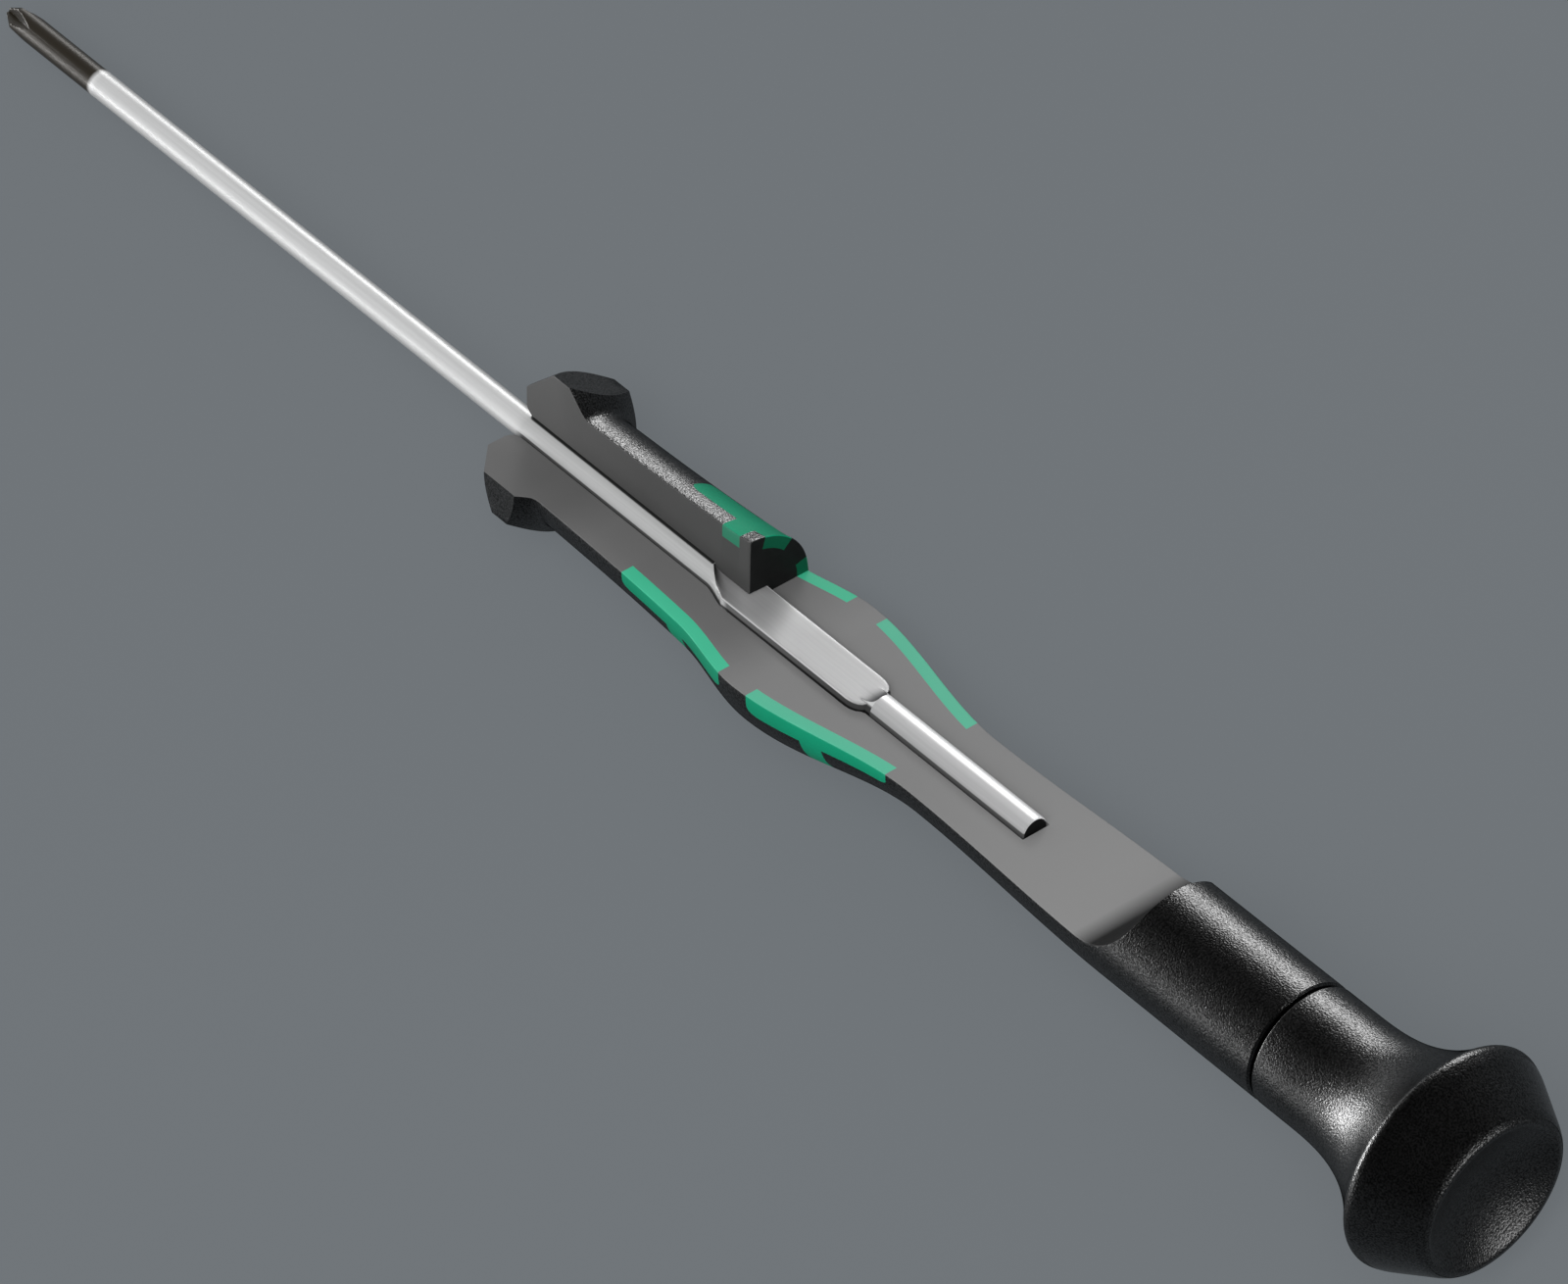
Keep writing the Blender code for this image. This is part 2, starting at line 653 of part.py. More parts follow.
handle_pieces = [build_blade(), build_handle_core(CUTAWAY), build_soft_grip("front", CUTAWAY, SOFT_GREEN),
                 build_soft_grip("rear", CUTAWAY, SOFT_GREEN.copy()), build_cap_pivot_pin(),
                 build_cap_retaining_ring(), build_cap_thrust_washer()]
cap_pieces = [build_swivel_cap(), build_cap_bearing_bush()]

for thing in [*handle_pieces, *CUTTERS.objects]:
    thing.parent = tool_axis
for thing in cap_pieces:
    thing.parent = cap_axis

tool_axis.location = (-TOOL_MIDDLE, 0.0, 0.0)
tool_axis.rotation_euler = (LYING_ROLL, 0.0, 0.0)
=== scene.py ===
import math

import bmesh
import bpy
from mathutils import Matrix, Vector


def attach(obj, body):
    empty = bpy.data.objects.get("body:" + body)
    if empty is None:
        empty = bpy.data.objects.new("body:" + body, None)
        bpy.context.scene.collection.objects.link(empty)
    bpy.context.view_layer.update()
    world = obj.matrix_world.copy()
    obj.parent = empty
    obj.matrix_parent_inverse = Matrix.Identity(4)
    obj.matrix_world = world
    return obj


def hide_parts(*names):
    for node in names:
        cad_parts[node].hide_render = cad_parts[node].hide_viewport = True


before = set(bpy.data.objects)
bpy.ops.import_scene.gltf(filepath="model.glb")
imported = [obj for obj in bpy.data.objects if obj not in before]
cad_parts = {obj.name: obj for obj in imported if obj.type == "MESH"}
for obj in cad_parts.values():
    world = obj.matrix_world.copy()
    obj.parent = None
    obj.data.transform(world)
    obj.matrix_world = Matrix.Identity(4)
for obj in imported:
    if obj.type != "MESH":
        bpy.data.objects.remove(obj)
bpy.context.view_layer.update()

# Pieces are drawn in the section frame, in millimetres: X runs along the tool axis from the nose's front face
# towards the cap, and Z stands square on the main section plane. PLACE takes that frame to the world's.
MM = 0.001
TOOL_MIDDLE = 18.5
LYING_ROLL = math.radians(-30.0)
PLACE = (Matrix.Translation((-TOOL_MIDDLE * MM, 0, 0)) @ Matrix.Rotation(LYING_ROLL, 4, "X")
         @ Matrix.Scale(MM, 4))

# Blade
BLADE_RADIUS = 1.05
BLADE_FRONT = -60.0
BLADE_END = 53.2
BLADE_END_CHAMFER = 0.08
POINT_LENGTH = 1.25
POINT_RADIUS = 0.35
FLUTE_LENGTH = 3.3
FLUTE_ROOT = 0.16
FLUTE_HALF_ANGLE = math.radians(46.0)
DARK_POINT_END = -49.1
BLADE_GAP = 0.12

# Wings, where the blade is pressed flat. Their front edge is bowed back over WING_SPREAD and has a step; at
# their end the flats rise along a ramp, the corners taper in and a short tongue is left.
WING_START = 20.25
WING_END = 37.7
WING_WIDTH = 3.3
WING_THICKNESS = 1.2
WING_STEP = 0.9
WING_SPREAD = 2.65
WING_BOW = 1.3
SHOULDER_START = 20.65
SHOULDER_END = 23.3
WING_RAMP = 1.5
WING_TAPER = 1.4
WING_TONGUE = 0.5
WING_SQUARENESS = 24.0
WING_MIDDLE = (WING_START + WING_END) / 2

# Handle, with GRIP_STATIONS as (x, radius, slope)
NOSE_FACE_RADIUS = 3.45
NOSE_RADIUS = 6.25
NOSE_CHAMFER = 2.9
NOSE_LENGTH = 4.5
NOSE_BACK = 5.9
FLAT_DISTANCE = 5.42
MOUTH_ROUND = 0.8
REAR_RADIUS = 4.56
HANDLE_END = 78.95
SPIGOT_RADIUS = 3.1
SPIGOT_END = 80.55
PIN_BORE_RADIUS = 1.35
PIN_BORE_START = 69.85
GRIP_STATIONS = (
    (NOSE_BACK, 4.85, -1.0),
    (7.2, 4.48, 0.02),
    (22.4, 5.06, 0.07),
    (29.6, 6.27, 0.0),
    (45.0, 3.92, 0.0),
    (64.0, REAR_RADIUS, 0.0),
)

# Soft pads: rows as (start, end, bridge centre)
PAD_COUNT = 6
PAD_ANGLE = math.radians(30.0)
PAD_DEPTH = 1.0
PAD_CORNER = 0.9
BRIDGE_WIDTH = 1.8
PAD_ROWS = {"front": (16.1, 28.05, 21.9), "rear": (31.0, 42.8, 36.4)}

# Cut-away
QUARTER_END = 23.9
RUNOUT_AT = 62.05
RUNOUT_RADIUS = 4.7
CUT_EDGE = 0.07

# Cap. LONGEST_ROUNDING is the largest share of a side that a rounded corner takes.
CAP_FRONT = 79.25
CAP_SLEEVE = 2.75
CAP_FLARE = 10.1
CAP_FLARE_POWER = 2.75
CAP_RIM_RADIUS = 8.43
CAP_RIM_WIDTH = 0.9
CAP_RIM_DROP = 0.25
CAP_RIM_ROUND = 0.5
CAP_RIM_EDGE = 0.45
CAP_END = 97.0
CAP_EDGE = 0.15
DISH_RADIUS = 5.55
DISH_DEPTH = 1.7
DISH_LIP = 0.7
LIP_ROUND = 0.4
LONGEST_ROUNDING = 0.75
CAP_RECESS = 3.4
CAP_RECESS_END = 81.45
CAP_BORE = 2.25
CAP_BORE_END = 90.75
FLARE_START = CAP_FRONT + CAP_SLEEVE
RIM_FRONT = FLARE_START + CAP_FLARE
RIM_BACK = RIM_FRONT + CAP_RIM_WIDTH

# Studio: colours, then the floor in millimetres and the highlight lamps' distance in metres. The floor meets
# the nose's flat at FLOOR_TOUCH and stays FLOOR_GAP below the cap's rim.
BACKDROP = (0.162, 0.178, 0.191)
CEILING = (0.02, 0.02, 0.02)
FILL = (0.5, 0.5, 0.51)
FLOOR_DARK = (0.158, 0.174, 0.187)
FLOOR_LIGHT = (0.162, 0.178, 0.191)
FLOOR_EVENNESS = 0.75
FLOOR_GAP = 0.03
FLOOR_TOUCH = 2.2
FLOOR_REACH = 3000.0
FLOOR_CELLS = 12
HIGHLIGHT_DISTANCE = 0.9

# Greys of the cut plastic as (x, tone): painted light towards the rear, painted shade up the run-out
SECTION_PAINTED_SHADING = (
    (0.0, 0.137), (5.0, 0.117), (8.0, 0.117), (12.0, 0.145), (25.0, 0.152), (30.0, 0.2),
    (44.0, 0.212), (62.0, 0.25), (63.0, 0.115), (63.5, 0.055), (63.8, 0.004),
)
# The upright face of the standing quarter: the same cut plastic in darker greys, as painted shade
UPRIGHT_PAINTED_SHADE = ((0.0, 0.099), (3.0, 0.102), (8.0, 0.081), (13.0, 0.066), (24.0, 0.066))

# Colours of the blade, and the factors of its painted shade. TONE_LINE is the reach of a sharp change of tone,
# and the wings' tone changes just ahead of the ramp at their end. TAIL_EDGE_LIFT and ABOVE_FLATS are shares of
# half the wings' thickness, ROD_SURFACE of the rod's radius, and so are the two places between which the
# painted contact shadow beside the standing quarter sets in.
WHITE = (1.0, 1.0, 1.0)
BLACKENED = (0.026, 0.021, 0.014)
STEEL = (0.62, 0.625, 0.62)
# Steel inside the handle: a darker copy, as painted shade
SHADED_SEATED_STEEL = (0.53, 0.535, 0.53)
# FLANK_SHADE and SHOULDER_SHADE darken the wings' flanks and the rod's low sides as painted shade
FLANK_SHADE = 0.2
SHOULDER_SHADE = 0.7
RAMP_TONE_START = WING_END - 2.0
TONE_LINE = 0.1132
TAIL_EDGE_LIFT = 0.2
CONTACT_SHADOW_START = -0.22
CONTACT_SHADOW_FULL = -0.12
ROD_SURFACE = 0.99
ABOVE_FLATS = 1.02

# Fineness of the meshes
ARC_STEPS = 96
QUARTER_STEPS = 36
BLADE_SIDE_STEPS = 8
BLADE_TOP_STEPS = 24
BLADE_CORNER_SPAN = math.radians(2.5)
FLUTE_RINGS = 44
WING_FRONT_RINGS = 90
WING_END_RINGS = 80
MOUTH_RINGS = 6
RUNOUT_RINGS = 40
END_EDGE_SHARES = (0.6, 0.3, 0.1, 0.0)
END_EDGE_BLEND = math.radians(8.0)
PAD_CORNER_STEPS = 10
CAP_STEPS = 160
DISH_RINGS = 24
FLARE_RINGS = 40
RIM_EDGE_RINGS = 2
CAP_CORNER_STEPS = 6
CAP_EDGE_STEPS = 5
STATION_LENGTH = 0.3
SHARP_EDGE = math.radians(35.0)
WELD = 0.002
TINY = 1e-6
PLANE_TOLERANCE = 1e-5

# Cutters for the pads' pockets: radii where they begin, and how far they reach past what they cut
WEDGE_INNER = 1.0
BAND_INNER = 2.0
OVERCUT = 3.0
POCKET_MARGIN = 1.0

# Material slots of the handle and the pads: moulded skin, the section's floor, then the end and the upright
# face of the standing quarter
OUTER, CUT, END, UPRIGHT = 0, 1, 2, 3

# Second material slots of the blade and the cap
SHEARED_END = 1
CAP_BACK = 1


def spread(start, end, count):
    return [start + (end - start) * i / count for i in range(count + 1)]


def stations(start, end):
    return spread(start, end, max(1, round((end - start) / STATION_LENGTH)))


def ease(x, start, end):
    """Rise smoothly from 0 at start to 1 at end."""
    share = min(max((x - start) / (end - start), 0.0), 1.0)
    return share * share * (3 - 2 * share)


def hermite(x, start, end):
    """Radius at x on the smooth curve between two (x, radius, slope) stations."""
    span = end[0] - start[0]
    t = (x - start[0]) / span
    from_start = (1 + 2 * t) * (1 - t) ** 2 * start[1] + t * (1 - t) ** 2 * span * start[2]
    from_end = t * t * (3 - 2 * t) * end[1] + t * t * (t - 1) * span * end[2]
    return from_start + from_end


def handle_radius(x):
    if x <= NOSE_CHAMFER:
        return NOSE_FACE_RADIUS + (NOSE_RADIUS - NOSE_FACE_RADIUS) * x / NOSE_CHAMFER
    if x <= NOSE_LENGTH:
        return NOSE_RADIUS
    if x <= NOSE_BACK:
        return NOSE_RADIUS - (x - NOSE_LENGTH)
    for start, end in zip(GRIP_STATIONS, GRIP_STATIONS[1:]):
        if x <= end[0]:
            return hermite(x, start, end)
    return REAR_RADIUS


def polar(radius, angle):
    return radius * math.cos(angle), radius * math.sin(angle)


def rounded(before, tip, after):
    """Points between two ends of a corner, on the curve that rounds it."""
    points = []
    for t in (1 / 3, 2 / 3):
        weights = ((1 - t) ** 2, 2 * t * (1 - t), t * t)
        points.append(tuple(sum(w * p[i] for w, p in zip(weights, (before, tip, after))) for i in (0, 1)))
    return points


def skin(shape, rings, material_of=None):
    """Join rings of (x, y, z) points by faces; material_of gives a face's slot by its place in the ring."""
    rows = [[shape.verts.new(point) for point in ring] for ring in rings]
    for row, following in zip(rows, rows[1:]):
        for i in range(len(row)):
            j = (i + 1) % len(row)
            face = shape.faces.new((row[i], row[j], following[j], following[i]))
            if material_of:
                face.material_index = material_of(i)
    return rows


def close(shape):
    """Weld coincident points and turn every face outward."""
    bmesh.ops.remove_doubles(shape, verts=shape.verts, dist=WELD)
    bmesh.ops.dissolve_degenerate(shape, edges=shape.edges, dist=WELD / 4)
    bmesh.ops.recalc_face_normals(shape, faces=shape.faces)


def make_object(name, shape, materials=()):
    mesh = bpy.data.meshes.new(name)
    shape.to_mesh(mesh)
    shape.free()
    for material in materials:
        mesh.materials.append(material)
    thing = bpy.data.objects.new(name, mesh)
    bpy.context.scene.collection.objects.link(thing)
    return thing


def combine(thing, operation, other):
    """Replace a thing's mesh by its boolean with another's."""
    boolean = thing.modifiers.new("combine", "BOOLEAN")
    boolean.operation = operation
    boolean.solver = "EXACT"
    boolean.object = other
    bpy.context.view_layer.update()
    evaluated = thing.evaluated_get(bpy.context.evaluated_depsgraph_get())
    mesh = bpy.data.meshes.new_from_object(evaluated)
    thing.modifiers.clear()
    thing.data = mesh
    mesh.name = thing.name


def copy_object(thing, name):
    twin = bpy.data.objects.new(name, thing.data.copy())
    bpy.context.scene.collection.objects.link(twin)
    return twin


def remove_object(thing):
    bpy.data.objects.remove(thing, do_unlink=True)


def finish_piece(thing, body, node):
    """Take a piece from the section frame to the world's and hang it on its body."""
    thing.data.transform(PLACE)
    thing.data.shade_smooth()
    thing.data.set_sharp_from_angle(angle=SHARP_EDGE)
    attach(thing, body)
    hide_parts(node)


# Blade


def arc_rise(share):
    """Height of a hollow quarter round: 1 and steep at share 0, 0 and level at share 1."""
    share = min(max(share, 0.0), 1.0)
    return 1 - math.sqrt(1 - (1 - share) ** 2)


def wing_half_width(x):
    narrow = math.sqrt(BLADE_RADIUS ** 2 - (WING_THICKNESS / 2) ** 2)
    taper_end = WING_END - WING_TONGUE
    if x > taper_end - WING_TAPER:
        return narrow + (WING_WIDTH / 2 - narrow) * (1 - arc_rise((taper_end - x) / WING_TAPER))
    share = min((x - WING_START) / WING_SPREAD, 1.0)
    return max(narrow, WING_WIDTH / 2 * share ** (1 / WING_BOW))


def rod_half_height(x, across):
    """Where the pressed flats cut the rod. Their front edge is bowed: further back towards the sides."""
    flat = WING_THICKNESS / 2
    if x < WING_MIDDLE:
        start = WING_START + WING_SPREAD * (2 * across / WING_WIDTH) ** WING_BOW
        return flat + (BLADE_RADIUS - flat) * arc_rise((x - start) / WING_STEP)
    return flat + (BLADE_RADIUS - flat) * arc_rise((WING_END - x) / WING_RAMP)


def shoulder_radius(x, across, upward):
    """The rod, widening to the wings where they begin."""
    wide = BLADE_RADIUS
    if x < SHOULDER_END:
        wide += (WING_WIDTH / 2 - BLADE_RADIUS) * ease(x, SHOULDER_START, SHOULDER_END)
    return 1 / math.hypot(across / wide, upward / BLADE_RADIUS)


def blade_radius(x, angle):
    """Radius of the blade's section: the rod, cut by the flats and widened by the wings between them."""
    if not WING_START < x < WING_END:
        return BLADE_RADIUS
    across, upward = abs(math.cos(angle)), abs(math.sin(angle))
    body = shoulder_radius(x, across, upward)
    rod = min(body, rod_half_height(x, body * across) / max(upward, TINY))
    sides = (across / wing_half_width(x)) ** WING_SQUARENESS
    faces = (2 * upward / WING_THICKNESS) ** WING_SQUARENESS
    return max(rod, (sides + faces) ** (-1 / WING_SQUARENESS))


def quadrant_angles(x):
    """Angles of one quarter of the section, gathered about the wing's corner."""
    corner = math.atan2(WING_THICKNESS / 2, wing_half_width(min(max(x, WING_START), WING_END)))
    low, high = corner - BLADE_CORNER_SPAN, corner + BLADE_CORNER_SPAN
    return [
        *spread(0.0, low, BLADE_SIDE_STEPS),
        *spread(low, high, 4)[1:-1],
        *spread(high, math.pi / 2, BLADE_TOP_STEPS),
    ]


def blade_points(x, gap, start, end):
    """The blade's section grown by gap, over whole quarters from start to end, which may run backwards."""
    step = 1 if end > start else -1
    points = []
    for quarter in range(start, end, step):
        low = quarter if step > 0 else quarter - 1
        angles = quadrant_angles(x)
        if low % 2:
            angles = [math.pi / 2 - angle for angle in reversed(angles)]
        angles = [low * math.pi / 2 + angle for angle in angles][::step]
        points += [polar(blade_radius(x, angle) + gap, angle) for angle in angles[:-1]]
    last = end * math.pi / 2
    return [*points, polar(blade_radius(x, last) + gap, last)]


def point_radius(x, angle):
    """Radius of the cross point: a cone into which four V grooves run out."""
    from_front = x - BLADE_FRONT
    cone = min(POINT_RADIUS + (BLADE_RADIUS - POINT_RADIUS) * from_front / POINT_LENGTH, BLADE_RADIUS)
    root = FLUTE_ROOT + (BLADE_RADIUS - FLUTE_ROOT) * (from_front / FLUTE_LENGTH) ** 2
    off_groove = (angle % (math.pi / 2)) - math.pi / 4
    opening = math.cos(off_groove) - abs(math.sin(off_groove)) / math.tan(FLUTE_HALF_ANGLE)
    if opening * cone <= root:
        return cone
    return root / opening


def blade_ring(x, shrink=0.0):
    outline = blade_points(x, -shrink, 0, 4)[:-1]
    if x < BLADE_FRONT + FLUTE_LENGTH:
        angles = [math.atan2(z, y) % math.tau for y, z in outline]
        outline = [polar(point_radius(x, angle), angle) for angle in angles]
    return [(x, y, z) for y, z in outline]


def build_blade():
    """The whole rod, from its cross point to its sheared end."""
    # painted shade: the steel's sheared end is painted near black
    end = painted_shade_end("blade_sheared_end_painted_shade", grey(0.005), grey(0.009))
    xs = spread(BLADE_FRONT, BLADE_FRONT + FLUTE_LENGTH, FLUTE_RINGS)
    xs += [DARK_POINT_END, 0.0]
    xs += spread(WING_START, WING_START + WING_SPREAD + WING_STEP, WING_FRONT_RINGS)
    xs += spread(WING_END - WING_TONGUE - WING_TAPER, WING_END, WING_END_RINGS)
    rings = [blade_ring(x) for x in xs]
    rings += [blade_ring(BLADE_END - BLADE_END_CHAMFER), blade_ring(BLADE_END, BLADE_END_CHAMFER)]
    shape = bmesh.new()
    rows = skin(shape, rings)
    shape.faces.new(rows[0])
    shape.faces.new(rows[-1]).material_index = SHEARED_END
    close(shape)
    return make_object("blade_rod", shape, (blade_steel(), end))


# Handle: each ring goes under the handle from its left to its right cut edge, then back along the cut


def mouth_growth(x):
    """How much the blade's hole opens at the nose."""
    if x >= MOUTH_ROUND:
        return 0.0
    return MOUTH_ROUND - math.sqrt(MOUTH_ROUND ** 2 - (MOUTH_ROUND - x) ** 2)


def cut_corner(radius, top):
    """Half the width of the cut at height top, and the length that its rounded edge takes."""
    half = math.sqrt(max(radius ** 2 - top ** 2, 0.0))
    return half, min(CUT_EDGE, half / 3)


def lower_arc(radius, top):
    """The outside below the cut, from its left to its right edge."""
    rise = math.asin(min(top / radius, 1.0))
    edge = cut_corner(radius, top)[1] / radius
    angles = spread(math.pi - rise + edge, math.tau + rise - edge, ARC_STEPS)
    return [polar(radius, angle) for angle in angles]


def right_ledge(radius, top):
    half, edge = cut_corner(radius, top)
    before = lower_arc(radius, top)[-1]
    after = (half - edge, top)
    return [*rounded(before, (half, top), after), after]


def left_ledge(radius, top):
    return [(-y, z) for y, z in reversed(right_ledge(radius, top))]


def channel(x, radius, top):
    """The blade's seat below the section plane, or the same number of points along a plain cut."""
    seat = blade_points(x, BLADE_GAP + mouth_growth(x), 0, -2)
    if x < BLADE_END + BLADE_GAP:
        return seat
    half = min(cut_corner(radius, top)[0] / 2, BLADE_RADIUS)
    return [(half * y / seat[0][0], top) for y, z in seat]


def quarter_wall(x, radius):
    """The standing quarter: outside, rounded top edge, upright face and the blade's seat."""
    into_end = max(0.0, 1 - (QUARTER_END - x) / CUT_EDGE)
    inset = CUT_EDGE * (1 - math.sqrt(1 - into_end ** 2))
    outside = []
    for angle in spread(0.0, math.pi / 2 - CUT_EDGE / radius, QUARTER_STEPS):
        outside.append(polar(radius - inset * min(1.0, angle / END_EDGE_BLEND), angle))
    after = (inset, radius - inset - CUT_EDGE)
    top_edge = rounded(outside[-1], (inset, radius - inset), after)
    seat = [(max(y, inset), z) for y, z in blade_points(x, BLADE_GAP + mouth_growth(x), 1, 0)]
    return [*outside, *top_edge, after, *seat[:-1]]


def handle_stations():
    """Stations along the standing quarter, then from its end to the run-out, with a pair at the seat's end."""
    xs = [MOUTH_ROUND * (1 - math.cos(t)) for t in spread(0.0, math.pi / 2, MOUTH_RINGS)]
    xs += [NOSE_CHAMFER, NOSE_LENGTH]
    for start, end in ((NOSE_BACK, WING_START), (WING_START, QUARTER_END - CUT_EDGE)):
        xs += stations(start, end)
    xs += [QUARTER_END - CUT_EDGE * share for share in END_EDGE_SHARES]
    front = sorted(set(xs))
    tail = BLADE_END + BLADE_GAP
    rear = stations(QUARTER_END, WING_END)
    rear += stations(WING_END, tail)[1:-1] + [tail - WELD, tail + WELD]
    rear += stations(tail, RUNOUT_AT)[1:]
    return front, rear


def rear_ring(x, radius, top):
    outline = [*lower_arc(radius, top), *right_ledge(radius, top), *channel(x, radius, top)]
    outline += left_ledge(radius, top)
    return [(x, y, z) for y, z in outline]


def front_ring(x):
    radius = handle_radius(x)
    outline = [*lower_arc(radius, 0.0), *quarter_wall(x, radius), *channel(x, radius, 0.0)]
    outline += left_ledge(radius, 0.0)
    return [(x, y, z) for y, z in outline]


def rear_rings(flat_stations):
    rings = [rear_ring(x, handle_radius(x), 0.0) for x in flat_stations]
    for angle in spread(0.0, math.pi / 2, RUNOUT_RINGS)[1:]:
        x = RUNOUT_AT + RUNOUT_RADIUS * math.sin(angle)
        top = min(RUNOUT_RADIUS * (1 - math.cos(angle)), handle_radius(x))
        rings.append(rear_ring(x, handle_radius(x), top))
    tail = (
        (HANDLE_END - CAP_EDGE, REAR_RADIUS),
        (HANDLE_END, REAR_RADIUS - CAP_EDGE),
        (HANDLE_END, SPIGOT_RADIUS),
        (SPIGOT_END, SPIGOT_RADIUS),
        (SPIGOT_END, PIN_BORE_RADIUS),
        (PIN_BORE_START, PIN_BORE_RADIUS),
    )
    rings += [rear_ring(x, radius, radius) for x, radius in tail]
    return rings


def cut_flats(shape):
    """Six anti-roll flats on the nose, one facing each pad."""
    for flat in range(PAD_COUNT):
        normal = Vector((0.0, *polar(1.0, math.tau * flat / PAD_COUNT)))
        nose = [face for face in shape.faces if face.calc_center_median().x < NOSE_BACK]
        edges = {edge for face in nose for edge in face.edges}
        corners = {vert for face in nose for vert in face.verts}
        cut = bmesh.ops.bisect_plane(shape, geom=[*nose, *edges, *corners], dist=PLANE_TOLERANCE,
                                     clear_outer=True, plane_co=normal * FLAT_DISTANCE, plane_no=normal)
        loop = [item for item in cut["geom_cut"] if isinstance(item, bmesh.types.BMEdge)]
        if loop:
            for face in bmesh.ops.contextual_create(shape, geom=loop)["faces"]:
                face.material_index = OUTER


def build_handle_blank(materials):
    """The sectioned handle before the pads are let in."""
    front, rear = handle_stations()
    shape = bmesh.new()
    wall = len(quarter_wall(QUARTER_END, handle_radius(QUARTER_END)))
    wall_start = ARC_STEPS + 1
    upright_start = wall_start + QUARTER_STEPS
    upright_end = wall_start + wall

    def front_slot(i):
        if i < upright_start:
            return OUTER
        return UPRIGHT if i < upright_end else CUT

    front_rows = skin(shape, [front_ring(x) for x in front], front_slot)
    rear_rows = skin(shape, rear_rings(rear), lambda i: OUTER if i < ARC_STEPS else CUT)
    shape.faces.new(front_rows[0])
    shape.faces.new(rear_rows[-1])
    ledge = len(right_ledge(REAR_RADIUS, 0.0))
    end_of_quarter = front_rows[-1][ARC_STEPS:upright_end + 1]
    end_of_quarter += reversed(rear_rows[0][wall_start:wall_start + ledge])
    shape.faces.new(end_of_quarter).material_index = END
    close(shape)
    cut_flats(shape)
    bmesh.ops.recalc_face_normals(shape, faces=shape.faces)
    return make_object("handle_blank", shape, materials)


# Soft pads


def pad_outline(start, end, half_width):
    """A pad seen from above, as (x, width) points with rounded corners."""
    low, high = start + PAD_CORNER, end - PAD_CORNER
    side = half_width - PAD_CORNER
    outline = []
    for quarter, (x, width) in enumerate(((high, side), (low, side), (low, -side), (high, -side))):
        for angle in spread(quarter * math.pi / 2, (quarter + 1) * math.pi / 2, PAD_CORNER_STEPS):
            along, across = polar(PAD_CORNER, angle)
            outline.append((x + along, width + across))
    return outline


def pad_wedges(start, end):
    """Six wedges whose sides run to the tool axis."""
    outer = NOSE_RADIUS + OVERCUT
    outline = pad_outline(start, end, outer * math.tan(PAD_ANGLE / 2))
    shape = bmesh.new()
    for pad in range(PAD_COUNT):
        roll = Matrix.Rotation(math.tau * pad / PAD_COUNT, 3, "X")
        rings = [[roll @ Vector((x, height, width * height / outer)) for x, width in outline]
                 for height in (WEDGE_INNER, outer)]
        rows = skin(shape, rings)
        shape.faces.new(rows[0])
        shape.faces.new(rows[1])
    bmesh.ops.recalc_face_normals(shape, faces=shape.faces)
    return make_object("pad_wedges", shape)


def turned_ring(name, outline):
    """Turn a closed outline of (x, radius) points about the tool axis."""
    steps = 2 * ARC_STEPS
    shape = bmesh.new()
    rings = []
    for i in range(steps):
        angle = math.tau * (i + 0.5) / steps
        rings.append([(x, *polar(radius, angle)) for x, radius in outline])
    skin(shape, [*rings, rings[0]])
    close(shape)
    return make_object(name, shape)


def pad_pocket(row):
    """The room that one row of pads takes in the handle, bridge included."""
    start, end, bridge = PAD_ROWS[row]
    cutter = pad_wedges(start, end)
    low, high = bridge - BRIDGE_WIDTH / 2, bridge + BRIDGE_WIDTH / 2
    outer = NOSE_RADIUS + OVERCUT / 2
    band_outline = [(low, BAND_INNER), (low, outer), (high, outer), (high, BAND_INNER)]
    band = turned_ring("bridge_band", band_outline)
    combine(cutter, "UNION", band)
    xs = stations(start - POCKET_MARGIN, end + POCKET_MARGIN)
    outline = [(x, handle_radius(x) + POCKET_MARGIN) for x in xs]
    outline += [(x, handle_radius(x) - PAD_DEPTH) for x in reversed(xs)]
    pocket = turned_ring(row + "_pocket", outline)
    combine(pocket, "INTERSECT", cutter)
    remove_object(cutter)
    remove_object(band)
    return pocket


# Cap


def round_corner(before, corner, after, reach):
    """Points of a smooth curve that starts and ends up to reach short of a corner."""
    ends = []
    for other in (before, after):
        along = Vector(other) - Vector(corner)
        ends.append(Vector(corner) + along * min(reach / along.length, LONGEST_ROUNDING))
    curve = []
    for t in spread(0.0, 1.0, CAP_CORNER_STEPS):
        point = ends[0] * (1 - t) ** 2 + Vector(corner) * 2 * t * (1 - t) + ends[1] * t * t
        curve.append(tuple(point))
    return curve


def front_edge():
    """The quarter round that ends the sleeve at the cap's front."""
    edge = []
    for angle in spread(math.pi / 2, math.pi, CAP_EDGE_STEPS):
        along, outward = polar(CAP_EDGE, angle)
        edge.append((CAP_FRONT + CAP_EDGE + along, REAR_RADIUS - CAP_EDGE + outward))
    return edge


